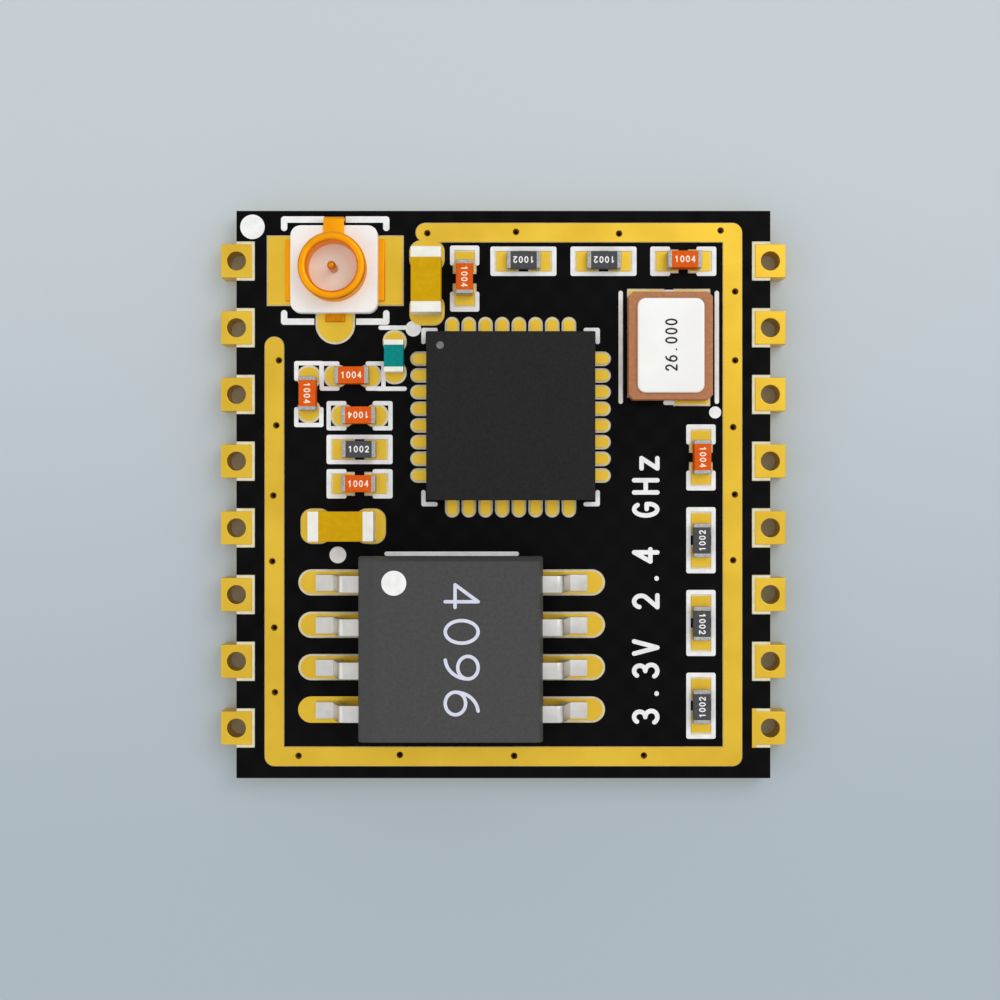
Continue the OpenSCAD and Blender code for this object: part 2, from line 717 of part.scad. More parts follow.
module socket_legend() {
    half = socket_w / 2 + socket_line_out;
    near = half - socket_line_arm;
    difference() {
        translate(socket_at) for (side = [-1, 1])
            line([[-half, side * near], [-half, side * half],
                  [half, side * half], [half, side * near]], socket_line_w);
        signal_land_outline(land_gap + ink_w / 4);
        translate([socket_at[0], socket_at[1] + socket_w / 2])
            plate(strap_w + 2 * cut, 2 * (strap_out + socket_line_out));
    }
}

// All the ink, kept off the lands as it is when a board is made
module legend_outline() {
    difference() {
        union() {
            chip_legend();
            radio_legend();
            memory_legend();
            crystal_legend();
            socket_legend();
            translate([-board_w / 2 + corner_dot_in, board_l / 2 - corner_dot_in])
                circle(corner_dot_d / 2, $fn = round_fn);
        }
        every_land(0);
    }
}

// Ink on the mask, and down on the laminate where a line runs over a mask opening
module legend() {
    color([0.96, 0.96, 0.96]) {
        translate([0, 0, z_mask]) linear_extrude(ink_t) legend_outline();
        translate([0, 0, board_t]) linear_extrude(mask_t) intersection() {
            legend_outline();
            every_land(1);
        }
    }
}

// ---------- radio chip ----------

module radio_chip_body() {
    color([0.15, 0.15, 0.15]) difference() {
        translate([radio_at[0] - radio_w / 2, radio_at[1] - radio_w / 2, z_seat + radio_lift])
            cube([radio_w, radio_w, radio_h - radio_lift]);
        radio_lead_blocks();
        radio_pad_block();
        translate([radio_at[0] - radio_w / 2 + dimple_in, radio_at[1] + radio_w / 2 - dimple_in,
                   z_seat + radio_h - dimple_t])
            cylinder(r = dimple_d / 2, h = dimple_t + cut, $fn = round_fn);
    }
}

module radio_lead_blocks() {
    at_radio_leads() translate([-radio_lead_w / 2, 0, z_seat])
        cube([radio_lead_w, radio_lead_l, radio_frame_t]);
}

module radio_pad_block() {
    translate([radio_at[0] - radio_pad_w / 2, radio_at[1] - radio_pad_w / 2, z_seat])
        cube([radio_pad_w, radio_pad_w, radio_frame_t]);
}

module radio_chip_leads() {
    color([0.78, 0.78, 0.78]) radio_lead_blocks();
}

module radio_chip_heat_pad() {
    color([0.78, 0.78, 0.78]) radio_pad_block();
}

module radio_chip_lands() {
    color([0.9, 0.75, 0.25]) translate([0, 0, board_t]) linear_extrude(copper_t)
        radio_land_outline(0);
}

// ---------- memory chip ----------

// The moulding's section across the leads, with the sloping edge at the upper left
memory_section = [
    [-memory_w / 2 + memory_draft, 0],
    [memory_w / 2 - memory_draft, 0],
    [memory_w / 2, memory_h / 2],
    [memory_w / 2 - memory_draft, memory_h],
    [-memory_w / 2 + memory_draft + memory_bevel, memory_h],
    [-memory_w / 2 + memory_draft * (1 - 2 * memory_bevel_t / memory_h), memory_h - memory_bevel_t],
    [-memory_w / 2, memory_h / 2],
];

// The moulding's section along the leads
memory_side = [
    [-memory_l / 2 + memory_draft, 0],
    [memory_l / 2 - memory_draft, 0],
    [memory_l / 2, memory_h / 2],
    [memory_l / 2 - memory_draft, memory_h],
    [-memory_l / 2 + memory_draft, memory_h],
    [-memory_l / 2, memory_h / 2],
];

module memory_chip_body() {
    color([0.29, 0.29, 0.29]) difference() {
        translate([memory_at[0], memory_at[1], memory_z]) intersection() {
            rotate([90, 0, 0]) linear_extrude(2 * memory_l, center = true)
                polygon(memory_section);
            rotate([90, 0, 90]) linear_extrude(2 * memory_w, center = true)
                polygon(memory_side);
        }
        memory_lead_shapes();
    }
}

// The offset of a bent sheet's face from its middle line, at the bend from a over b to c
function unit(v) = v / norm(v);
function across(a, b) = let (d = unit(b - a)) [-d[1], d[0]];
function mitre(a, b, c) =
    let (n = across(a, b), m = across(b, c)) (n + m) / (1 + n * m);

// The outline of a sheet of thickness t bent along path
function bent_sheet(path, t) =
    let (n = len(path) - 1,
         shift = [for (i = [0:n])
             i == 0 ? across(path[0], path[1]) :
             i == n ? across(path[n - 1], path[n]) :
             mitre(path[i - 1], path[i], path[i + 1])])
    concat([for (i = [0:n]) path[i] + shift[i] * t / 2],
           [for (i = [n:-1:0]) path[i] - shift[i] * t / 2]);

memory_lead_path = [
    [memory_w / 2 - memory_root, memory_lead_z],
    [memory_w / 2 + memory_shoulder, memory_lead_z],
    [memory_heel, z_seat + memory_lead_t / 2],
    [memory_span / 2, z_seat + memory_lead_t / 2],
];

module memory_lead_shapes() {
    at_memory_leads() rotate([90, 0, 0]) linear_extrude(memory_lead_w, center = true)
        polygon(bent_sheet(memory_lead_path, memory_lead_t));
}

module memory_chip_leads() {
    color([0.78, 0.78, 0.78]) memory_lead_shapes();
}

module memory_chip_dot() {
    color([0.98, 0.98, 0.98])
        translate([memory_at[0] - memory_w / 2 + memory_draft + memory_bevel + memory_dot_in[0],
                   memory_at[1] + memory_l / 2 - memory_draft - memory_dot_in[1],
                   memory_z + memory_h])
            cylinder(r = memory_dot_d / 2, h = ink_t, $fn = round_fn);
}

module memory_chip_lands() {
    color([0.87, 0.71, 0.2]) translate([0, 0, board_t]) linear_extrude(copper_t)
        memory_land_outline(0);
}

// ---------- crystal ----------

module crystal_outline() {
    half_w = crystal_w / 2;
    half_l = crystal_l / 2;
    polygon([[half_w - crystal_cut, half_l], [-half_w + crystal_cut, half_l],
             [-half_w, half_l - crystal_cut], [-half_w, -half_l + crystal_cut],
             [-half_w + crystal_cut, -half_l], [half_w - crystal_cut, -half_l],
             [half_w, -half_l + crystal_cut], [half_w, half_l - crystal_cut]]);
}

module crystal_base() {
    color([0.71, 0.46, 0.3]) translate([crystal_at[0], crystal_at[1], crystal_z]) difference() {
        linear_extrude(crystal_h) crystal_outline();
        translate([0, 0, crystal_floor]) linear_extrude(crystal_h)
            plate(crystal_w - 2 * crystal_wall, crystal_l - 2 * crystal_wall);
    }
}

module crystal_lid() {
    color([0.96, 0.96, 0.96])
        translate([crystal_at[0], crystal_at[1], crystal_z + crystal_h]) linear_extrude(lid_t)
            plate(crystal_w - 2 * lid_side_in, crystal_l - 2 * lid_end_in, lid_r);
}

module crystal_blank() {
    color([0.85, 0.9, 0.92])
        translate([crystal_at[0], crystal_at[1], crystal_z + crystal_floor + glue_t])
            linear_extrude(blank_t) plate(blank_w, blank_l);
}

module crystal_glue() {
    color([0.6, 0.6, 0.6]) for (side = [-1, 1])
        translate([crystal_at[0] + side * (blank_w - glue_w) / 2,
                   crystal_at[1] - (blank_l - glue_w) / 2, crystal_z + crystal_floor])
            linear_extrude(glue_t) plate(glue_w, glue_w);
}

module crystal_terminals() {
    color([0.87, 0.71, 0.2]) for (sx = [-1, 1], sy = [-1, 1])
        translate([crystal_at[0] + sx * ((crystal_w - crystal_pad[0]) / 2 - crystal_pad_in),
                   crystal_at[1] + sy * ((crystal_l - crystal_pad[1]) / 2 - crystal_pad_in), z_seat])
            linear_extrude(crystal_pad_t) plate(crystal_pad[0], crystal_pad[1]);
}

module crystal_lands() {
    color([0.93, 0.78, 0.27]) translate([0, 0, board_t]) linear_extrude(copper_t)
        crystal_land_outline(0);
}

// ---------- antenna socket ----------

// The ring's section: a drawn wall that narrows upwards, a groove for the plug's catch, and
// above it an upright lip with a half-round top
module shell_section() {
    outer = shell_d / 2;
    inner = outer - shell_wall;
    top = socket_top + shell_rise;
    groove_top = top - shell_lip;
    polygon([[inner, z_seat], [outer, z_seat],
             [outer - shell_groove / 2, groove_top - shell_groove_h],
             [outer - shell_groove, groove_top - shell_groove_h / 2],
             [outer, groove_top], [outer, top - shell_wall / 2], [inner, top - shell_wall / 2]]);
    translate([outer - shell_wall / 2, top - shell_wall / 2])
        circle(shell_wall / 2, $fn = round_fn);
}

// The room that the signal leg takes out of the shell's foot
module signal_room() {
    room_w = signal_leg_w + 2 * socket_gap;
    translate([-room_w / 2, -socket_w, z_seat - cut])
        cube([room_w, socket_w, sheet_t + socket_gap + cut]);
}

module shell_shape() {
    reach = socket_w / 2 + leg_out;
    strap_reach = socket_w / 2 + strap_out;
    translate(socket_at) {
        difference() {
            union() {
                translate([-reach, -side_leg_w / 2, z_seat])
                    cube([2 * reach, side_leg_w, sheet_t]);
                rotate_extrude($fn = 64) shell_section();
            }
            translate([0, 0, z_seat - cut])
                cylinder(r = shell_d / 2 - shell_wall, h = sheet_t + 2 * cut, $fn = 64);
            signal_room();
        }
        translate([-strap_w / 2, (shell_d - shell_wall) / 2, socket_top])
            cube([strap_w, strap_reach - (shell_d - shell_wall) / 2, sheet_t]);
        translate([-strap_w / 2, strap_reach - sheet_t, z_mask])
            cube([strap_w, sheet_t, socket_top + sheet_t - z_mask]);
    }
}

module pin_shape() {
    translate(socket_at) {
        translate([-signal_leg_w / 2, -socket_w / 2 - signal_leg_out, z_seat])
            cube([signal_leg_w, socket_w / 2 + signal_leg_out + pin_d, sheet_t]);
        translate([0, 0, z_seat])
            cylinder(r = pin_d / 2, h = socket_h + pin_rise - pin_d / 2, $fn = round_fn);
        translate([0, 0, socket_top + pin_rise - pin_d / 2]) sphere(pin_d / 2, $fn = round_fn);
    }
}

module antenna_socket_base() {
    color([0.98, 0.98, 0.97]) difference() {
        translate([socket_at[0], socket_at[1], z_seat]) linear_extrude(socket_h)
            plate(socket_w, socket_w, socket_r);
        shell_shape();
        pin_shape();
    }
}

module antenna_socket_shell() {
    color([0.94, 0.6, 0.06]) shell_shape();
}

module antenna_socket_pin() {
    color([0.94, 0.6, 0.06]) pin_shape();
}

module antenna_socket_lands() {
    color([0.87, 0.71, 0.2]) translate([0, 0, board_t]) linear_extrude(copper_t) {
        signal_land_outline(0);
        socket_side_land_outline(0);
    }
}

// ---------- chip resistors, capacitors and inductor ----------

function chip_size(i) =
    i < len(RESISTORS) ? RESISTOR :
    i < len(RESISTORS) + len(CAPACITORS) ? CAPACITOR :
    i < len(RESISTORS) + len(CAPACITORS) + len(INDUCTORS) ? INDUCTOR : BULK_CAPACITOR;

function chip_colour(i) =
    i < len(RESISTORS) ? [0.29, 0.29, 0.3] :
    i < len(RESISTORS) + len(CAPACITORS) ? [0.88, 0.34, 0.1] :
    i < len(RESISTORS) + len(CAPACITORS) + len(INDUCTORS) ? [0, 0.54, 0.52] : [0.8, 0.62, 0.04];

// The part of a chip between its metal ends, and the core that runs into them
module chip_solid(size) {
    translate([-size[0] / 2 + size[3], -size[1] / 2, end_t])
        cube([size[0] - 2 * size[3], size[1], size[2] - end_t]);
    translate([-size[0] / 2 + end_t, -size[1] / 2 + end_t, end_t])
        cube([size[0] - 2 * end_t, size[1] - 2 * end_t, size[2] - 2 * end_t]);
}

module chip_body(i) {
    color(chip_colour(i)) at_chip(CHIPS[i]) translate([0, 0, z_seat]) chip_solid(chip_size(i));
}

// Metal caps over both ends of a chip
module chip_ends(i) {
    size = chip_size(i);
    color([0.85, 0.84, 0.83]) at_chip(CHIPS[i]) translate([0, 0, z_seat]) difference() {
        translate([-size[0] / 2, -size[1] / 2, 0]) cube([size[0], size[1], size[2]]);
        translate([-size[0] / 2 + size[3], -size[1], -cut])
            cube([size[0] - 2 * size[3], 2 * size[1], size[2] + 2 * cut]);
        translate([-size[0] / 2 + end_t, -size[1] / 2 + end_t, end_t])
            cube([size[0] - 2 * end_t, size[1] - 2 * end_t, size[2] - 2 * end_t]);
    }
}

module chip_lands() {
    color([0.87, 0.71, 0.2]) translate([0, 0, board_t]) linear_extrude(copper_t) {
        small_land_outline(0);
        bulk_land_outline(0);
    }
}

// ---------- what is drawn ----------

board_contacts_left();
board_contacts_right();
circuit_board();
top_solder_mask();
bottom_solder_mask();
ground_ring();
legend();
radio_chip_body();
radio_chip_leads();
radio_chip_heat_pad();
radio_chip_lands();
memory_chip_body();
memory_chip_leads();
memory_chip_dot();
memory_chip_lands();
crystal_base();
crystal_lid();
crystal_blank();
crystal_glue();
crystal_terminals();
crystal_lands();
antenna_socket_base();
antenna_socket_shell();
antenna_socket_pin();
antenna_socket_lands();
chip_lands();
for (i = [0:len(CHIPS) - 1]) {
    chip_body(i);
    chip_ends(i);
}
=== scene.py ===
# %% [markdown]
# # A wifi module on a small circuit board
# The part is a board of 16 by 17 mm with an antenna socket, a radio chip, a memory chip, a
# crystal and sixteen small chips. Its solids come packed as a frame, in metres. This lesson
# keeps the flat ones, such as the copper and the ink, and gives them finishes. It stands finer
# pieces in for the rest: rounded mouldings, bent leads, a turned socket and printed marks.

# %% The frame
import math
import bpy
import numpy as np
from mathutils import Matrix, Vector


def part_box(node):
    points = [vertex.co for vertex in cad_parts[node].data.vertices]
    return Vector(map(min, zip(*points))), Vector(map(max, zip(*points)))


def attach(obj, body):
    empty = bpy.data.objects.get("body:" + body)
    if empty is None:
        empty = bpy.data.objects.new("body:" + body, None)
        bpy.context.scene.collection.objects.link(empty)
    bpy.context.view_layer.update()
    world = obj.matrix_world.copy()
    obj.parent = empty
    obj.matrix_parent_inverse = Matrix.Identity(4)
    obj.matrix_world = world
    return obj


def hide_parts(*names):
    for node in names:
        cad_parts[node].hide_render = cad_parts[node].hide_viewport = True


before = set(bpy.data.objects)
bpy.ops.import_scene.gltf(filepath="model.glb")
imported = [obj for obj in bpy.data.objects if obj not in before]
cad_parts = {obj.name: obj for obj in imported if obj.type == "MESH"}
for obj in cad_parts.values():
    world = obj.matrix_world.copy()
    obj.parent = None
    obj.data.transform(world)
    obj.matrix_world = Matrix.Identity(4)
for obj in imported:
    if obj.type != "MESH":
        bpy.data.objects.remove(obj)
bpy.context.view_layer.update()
MM = 0.001

# %% [markdown]
# Every length below is written in millimetres, as a maker of boards would write it, and turned
# into metres only when a mesh is filled. A node's own box gives the place of what replaces it.

# %% Where a node is
def span(node):
    """The lowest and highest corners of a node, in millimetres."""
    lo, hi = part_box(node)
    return np.array(lo) / MM, np.array(hi) / MM


def middle(node):
    """The middle of a node's box, in millimetres."""
    lo, hi = span(node)
    return (lo + hi) / 2


board_hi = span("top_solder_mask")[1]
MASK_TOP = board_hi[2]
LAND_TOP = span("chip_lands")[1][2]
print("mask top and land top:", round(MASK_TOP, 4), round(LAND_TOP, 4))

# %% [markdown]
# ## Light, floor and camera
# The board lies flat and is looked at from straight above. A wide, even sky does most of the
# lighting, so that a gold land shows its own colour. A large lamp at the upper right adds the
# little shade that makes edges readable, and a weaker one at the left opens that shade again.
# The floor is pale grey-blue, with painted shade that deepens it a little towards the reader.

# %% Camera
VIEW_WIDTH = 29.985        # how much of the board's level the picture takes in
VIEW_HEIGHT = 50.0         # from the board's level up to the lens
BOARD_TOP = 0.8
AIM = (-0.102, -0.1645)

eye = bpy.data.cameras.new("overhead_camera")
eye.sensor_width = 36
eye.lens = eye.sensor_width * VIEW_HEIGHT / VIEW_WIDTH
eye.clip_start, eye.clip_end = 0.001, 5
camera = bpy.data.objects.new("overhead_camera", eye)
camera.location = (AIM[0] * MM, AIM[1] * MM, (BOARD_TOP + VIEW_HEIGHT) * MM)
bpy.context.scene.collection.objects.link(camera)
bpy.context.scene.camera = camera
bpy.context.scene.view_settings.view_transform = "Standard"
print("lens in mm:", round(eye.lens, 2))

# %% Colours as written
def tint(code):
    """The linear red, green, blue and alpha of a colour written as six hex digits."""
    c = np.array([int(code[i:i + 2], 16) for i in (0, 2, 4)]) / 255
    c = np.where(c <= 0.04045, c / 12.92, ((c + 0.055) / 1.055) ** 2.4)
    return (*c.tolist(), 1.0)


# %% Node helpers
def tree_of(thing):
    """The node tree of a material or world, emptied."""
    thing.use_nodes = True
    thing.node_tree.nodes.clear()
    return thing.node_tree


def put(tree, kind, settings=(), **sockets):
    """A new node with its settings, and its sockets set to values or joined to other sockets."""
    node = tree.nodes.new(kind)
    for key, value in dict(settings).items():
        setattr(node, key, value)
    for key, value in sockets.items():
        name = int(key[1:]) if key[0] == "i" and key[1:].isdigit() else key.replace("_", " ")
        socket = node.inputs[name]
        if isinstance(value, bpy.types.NodeSocket):
            tree.links.new(value, socket)
        else:
            socket.default_value = value
    return node


def object_axes(tree):
    """The three Object coordinates, as sockets."""
    where = put(tree, "ShaderNodeTexCoord").outputs["Object"]
    return put(tree, "ShaderNodeSeparateXYZ", Vector=where).outputs


def sums(tree, operation, a, b=0.0, c=0.0):
    """One step of arithmetic on numbers or sockets."""
    node = put(tree, "ShaderNodeMath", {"operation": operation}, i0=a, i1=b, i2=c)
    return node.outputs[0]


# %% Sky and lamps
SKY_LIGHT = 0.8
SKY_SEEN = tint("EEEEEE")
world = bpy.data.worlds.new("studio_sky")
bpy.context.scene.world = world
sky = tree_of(world)
rays = put(sky, "ShaderNodeLightPath").outputs
seen = sums(sky, "MAXIMUM", rays["Is Camera Ray"],
            sums(sky, "MAXIMUM", rays["Is Glossy Ray"], rays["Is Transmission Ray"]))
lit = put(sky, "ShaderNodeBackground", Color=(1, 1, 1, 1), Strength=SKY_LIGHT)
shown = put(sky, "ShaderNodeBackground", Color=SKY_SEEN, Strength=1.0)
both = put(sky, "ShaderNodeMixShader", i0=seen, i1=lit.outputs[0], i2=shown.outputs[0])
put(sky, "ShaderNodeOutputWorld", Surface=both.outputs[0])


def lamp(name, place, size, power):
    """A square lamp of a side in mm, at a place in mm, turned to the board's middle."""
    light = bpy.data.lights.new(name, "AREA")
    light.size = size * MM
    light.energy = power
    hung = bpy.data.objects.new(name, light)
    hung.location = [c * MM for c in place]
    hung.rotation_mode = "QUATERNION"
    hung.rotation_quaternion = (-hung.location).to_track_quat("-Z", "Y")
    bpy.context.scene.collection.objects.link(hung)


lamp("softbox_upper_right", (70, 60, 120), 90, 0.044)
lamp("softbox_left", (-110, -20, 70), 80, 0.012)
print("sky strength:", SKY_LIGHT)

# %% [markdown]
# ## Surfaces as grids of numbers
# A mesh is a list of points and a list of faces that name them. Where a shape is a function of
# two parameters, both lists come out of whole arrays at once: the points from the formula, and
# the faces from the grid's own numbering. Four such functions make every piece here: a block
# with round edges, a stack of outlines, a section carried along a path, and a turned profile.

# %% Faces of a grid
def grid_faces(rows, columns, round_rows=False, round_columns=False, flip=False):
    """The four-sided faces of a grid whose points are numbered row by row. A round grid joins
    its last row or column to its first."""
    i = np.arange(rows if round_rows else rows - 1)[:, None]
    j = np.arange(columns if round_columns else columns - 1)[None, :]
    below, beside = (i + 1) % rows, (j + 1) % columns
    corners = [i * columns + j, i * columns + beside,
               below * columns + beside, below * columns + j]
    faces = np.stack(np.broadcast_arrays(*corners), -1).reshape(-1, 4)
    return faces[:, ::-1] if flip else faces


def joined(*shapes):
    """Several shapes, each its points and a list of its faces, as one."""
    points, faces, start = [], [], 0
    for more_points, more_faces in shapes:
        points.append(np.asarray(more_points, float).reshape(-1, 3))
        faces += [(np.asarray(face) + start).tolist() for face in more_faces]
        start += len(points[-1])
    return np.concatenate(points), faces


def welded(shape):
    """The same shape with the points that share a place made one, and flat faces dropped."""
    points, faces = shape
    _, first, same = np.unique(points.round(6), axis=0, return_index=True, return_inverse=True)
    same = same.reshape(-1)
    kept = []
    for face in faces:
        loop = list(dict.fromkeys(same[np.asarray(face)].tolist()))
        if len(loop) > 2:
            kept.append(loop)
    return points[first], kept


def moved(shape, place=(0, 0, 0), turn=0.0):
    """The shape turned about the upright axis by an angle in degrees, then moved."""
    points, faces = shape
    c, s = math.cos(math.radians(turn)), math.sin(math.radians(turn))
    spin = np.array([[c, s, 0], [-s, c, 0], [0, 0, 1]])
    return np.asarray(points) @ spin + np.asarray(place, float), faces


# %% From a shape to a piece
made = []

def piece(name, shape, finish, slot, *nodes, crease=40):
    """A new piece of the object. It rides on the board, takes its finish, and stands for the
    nodes named. Edges that turn by more than crease degrees stay sharp."""
    points, faces = shape
    mesh = bpy.data.meshes.new(name)
    mesh.from_pydata((np.asarray(points) * MM).tolist(), [], faces)
    mesh.validate()
    mesh.shade_smooth()
    mesh.set_sharp_from_angle(angle=math.radians(crease))
    mesh.materials.append(finish)
    thing = bpy.data.objects.new(name, mesh)
    bpy.context.scene.collection.objects.link(thing)
    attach(thing, "root")
    if nodes:
        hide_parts(*nodes)
    made.append((name, len(mesh.polygons)))
    return thing


# %% [markdown]
# A moulded or pressed block is never sharp. The classic round-edged box takes every point q of a
# plain box, finds the nearest point of a smaller box inside it, and sets q at the distance r from
# there. Grid lines crowd together near the edges, where the surface turns, and one more line
# just inside keeps the flat face flat when it is shaded smooth.

# %% A block with round edges
EDGE_STEPS = 4

def edge_lines(lo, hi, r, extra=()):
    """Grid lines from lo to hi, spaced by equal angles within r of both ends."""
    turn = np.tan(np.linspace(0, math.pi / 4, EDGE_STEPS + 1))
    near = np.append(r - r * turn, 1.25 * r)
    return np.unique(np.concatenate([lo + near, hi - near, np.asarray(extra, float)]).round(6))


def block(lo, hi, r, extra=((), (), ())):
    """A closed box from lo to hi with edges of radius r: each point q of its six faces goes to
    c + r (q - c) / |q - c|, where c is the nearest point of the box inset by r."""
    lo, hi = np.asarray(lo, float), np.asarray(hi, float)
    lines = [edge_lines(lo[k], hi[k], r, extra[k]) for k in range(3)]
    shapes = []
    for k in range(3):
        i, j = (k + 1) % 3, (k + 2) % 3
        u, v = np.meshgrid(lines[i], lines[j], indexing="ij")
        for end, flip in ((lo[k], False), (hi[k], True)):
            q = np.empty(u.shape + (3,))
            q[..., i], q[..., j], q[..., k] = u, v, end
            c = np.clip(q, lo + r, hi - r)
            out = q - c
            q = c + r * out / np.linalg.norm(out, axis=-1, keepdims=True)
            shapes.append((q.reshape(-1, 3), grid_faces(*u.shape, flip=flip)))
    return welded(joined(*shapes))


# %% [markdown]
# A plate, a package or a cap is an outline that changes as it climbs. The outline is a function
# of how far it is drawn in, so the same few lines make a straight wall, a draft, a slope and a
# round upper edge: only the list of draw-in and height differs.

# %% A stack of outlines
def plan(x0, x1, y0, y1, r, steps=6, bulge=1.0):
    """The outline of a plate, anticlockwise. Each corner has steps + 1 points on an arc of
    radius r. With bulge 0 they lie on the straight cut between the arc's ends instead."""
    a = np.linspace(0, math.pi / 2, steps + 1)
    t = np.linspace(0, 1, steps + 1)
    arc = np.stack([np.cos(a), np.sin(a)], -1)
    chord = np.stack([1 - t, t], -1)
    corner = r * (bulge * arc + (1 - bulge) * chord)
    turns = [np.array([[1, 0], [0, 1]]), np.array([[0, 1], [-1, 0]]),
             np.array([[-1, 0], [0, -1]]), np.array([[0, -1], [1, 0]])]
    centres = [(x1 - r, y1 - r), (x0 + r, y1 - r), (x0 + r, y0 + r), (x1 - r, y0 + r)]
    return np.concatenate([corner @ turn + centre for turn, centre in zip(turns, centres)])


def stack(outlines, heights, closed=False):
    """A surface through outlines of equal length, one above another, with flat ends. A closed
    stack joins its last outline to its first, as a tube bent into a ring does."""
    levels = np.stack([np.column_stack([line, np.full(len(line), z)])
                       for line, z in zip(outlines, heights)])
    rows, columns = levels.shape[:2]
    faces = grid_faces(rows, columns, round_rows=closed, round_columns=True).tolist()
    if not closed:
        faces.append(list(range(columns))[::-1])
        faces.append(list(range((rows - 1) * columns, rows * columns)))
    return welded((levels.reshape(-1, 3), faces))


def edge_profile(z0, z1, r, r_low=None):
    """Draw-in and height up the side of a plate from z0 to z1: a quarter circle of radius r_low
    at the foot, and one of radius r at the top, with a line more inside the top face."""
    r_low = r if r_low is None else r_low
    a = np.linspace(0, math.pi / 2, EDGE_STEPS + 1)
    foot = np.stack([r_low * (1 - np.sin(a)), z0 + r_low * (1 - np.cos(a))], -1)
    top = np.stack([r * (1 - np.cos(a)), z1 - r * (1 - np.sin(a))], -1)
    return np.concatenate([foot, top, [[1.3 * r, z1]]])


def plate(x0, x1, y0, y1, z0, z1, corner, r, r_low=None, bulge=1.0):
    """A plate with round corners and round edges."""
    profile = edge_profile(z0, z1, r, r_low)
    outlines = [plan(x0 + e, x1 - e, y0 + e, y1 - e, max(corner - e, 0.3 * corner), bulge=bulge)
                for e, _ in profile]
    return stack(outlines, profile[:, 1])


# %% [markdown]
# A bent lead or strap is one section carried along a path. Each bend of the path is an arc, and
# the section stands square to the path at every point of it.

# %% A section carried along a path
def bent(corners, radius, steps=8):
    """A path in a plane through corners, each bend an arc of the radius: points and tangents."""
    corners = np.asarray(corners, float)
    points, tangents = [corners[:1]], []
    first = corners[1] - corners[0]
    tangents.append((first / np.linalg.norm(first))[None])
    for a, b, c in zip(corners[:-2], corners[1:-1], corners[2:]):
        u, v = (b - a) / np.linalg.norm(b - a), (c - b) / np.linalg.norm(c - b)
        half = math.acos(np.clip(u @ v, -1, 1)) / 2
        side = np.sign(u[0] * v[1] - u[1] * v[0])
        start = b - u * radius * math.tan(half)
        normal = side * np.array([-u[1], u[0]])
        t = np.linspace(0, 2 * half, steps + 1)[:, None]
        points.append(start + radius * (np.sin(t) * u + (1 - np.cos(t)) * normal))
        tangents.append(np.cos(t) * u + np.sin(t) * normal)
    last = corners[-1] - corners[-2]
    points.append(corners[-1:])
    tangents.append((last / np.linalg.norm(last))[None])
    return np.concatenate(points), np.concatenate(tangents)


def strip(corners, radius, width, thickness, r):
    """A bent sheet in the plane of x and z, width wide along y: at each point p of its path the
    section is p + s n + y, where n is square to the path and (s, y) runs round a rectangle of
    thickness by width with corners of radius r."""
    points, tangents = bent(corners, radius)
    section = plan(-thickness / 2, thickness / 2, -width / 2, width / 2, r, steps=3)
    across = np.column_stack([-tangents[:, 1], tangents[:, 0]])
    rows, columns = len(points), len(section)
    grid = np.empty((rows, columns, 3))
    grid[..., 0] = points[:, :1] + section[None, :, 0] * across[:, :1]
    grid[..., 1] = section[None, :, 1]
    grid[..., 2] = points[:, 1:] + section[None, :, 0] * across[:, 1:]
    faces = grid_faces(rows, columns, round_columns=True).tolist()
    faces.append(list(range(columns))[::-1])
    faces.append(list(range((rows - 1) * columns, rows * columns)))
    return grid.reshape(-1, 3), faces


# %% A turned profile
def turned(profile, steps=64, closed=True):
    """A profile of radius and height turned about the upright axis: (r cos a, r sin a, z). A
    closed profile makes a ring. An open one starts and ends on the axis."""
    profile = np.asarray(profile, float)
    a = np.linspace(0, 2 * math.pi, steps, endpoint=False)
    grid = np.empty((len(profile), steps, 3))
    grid[..., 0] = profile[:, :1] * np.cos(a)
    grid[..., 1] = profile[:, :1] * np.sin(a)
    grid[..., 2] = profile[:, 1:]
    faces = grid_faces(len(profile), steps, round_rows=closed, round_columns=True)
    return welded((grid.reshape(-1, 3), faces.tolist()))


# %% [markdown]
# ## Finishes
# Each finish is a small tree of nodes that reads Object coordinates, so the grain has a real
# size and stays put from every side. Two tones are mixed by a fine noise, the same noise moves
# the gloss a little, and a finer one roughens the surface.

# %% A finish with a grain
def noise(tree, size, stretch=(1, 1, 1), detail=3.0):
    """A noise whose blotches are about size mm across, drawn out by the stretch."""
    where = put(tree, "ShaderNodeTexCoord").outputs["Object"]
    scale = [1 / (size * MM * s) for s in stretch]
    spread = put(tree, "ShaderNodeMapping", Vector=where, Scale=scale).outputs[0]
    return put(tree, "ShaderNodeTexNoise", Vector=spread, Scale=1.0, Detail=detail).outputs[0]


def ranged(tree, value, lo, hi, low=0.35, high=0.65):
    """A value taken from the range low to high into lo to hi."""
    return put(tree, "ShaderNodeMapRange", i0=value, i1=low, i2=high, i3=lo, i4=hi).outputs[0]


def blend(tree, amount, one, other):
    """One colour turning into the other as the amount goes from 0 to 1."""
    node = put(tree, "ShaderNodeMix", {"data_type": "RGBA"}, i0=amount)
    for socket, value in ((node.inputs[6], one), (node.inputs[7], other)):
        if isinstance(value, bpy.types.NodeSocket):
            tree.links.new(value, socket)
        else:
            socket.default_value = value
    return node.outputs[2]


def surface(tree, colour, roughness, metal, specular, height, depth):
    """The shader and output: colour, gloss, and a bump of depth mm from height."""
    bump = put(tree, "ShaderNodeBump", Height=height, Distance=depth * MM, Strength=1.0)
    shader = put(tree, "ShaderNodeBsdfPrincipled", Base_Color=colour, Roughness=roughness,
                 Metallic=metal, Specular_IOR_Level=specular, Normal=bump.outputs[0])
    put(tree, "ShaderNodeOutputMaterial", Surface=shader.outputs[0])
    return shader


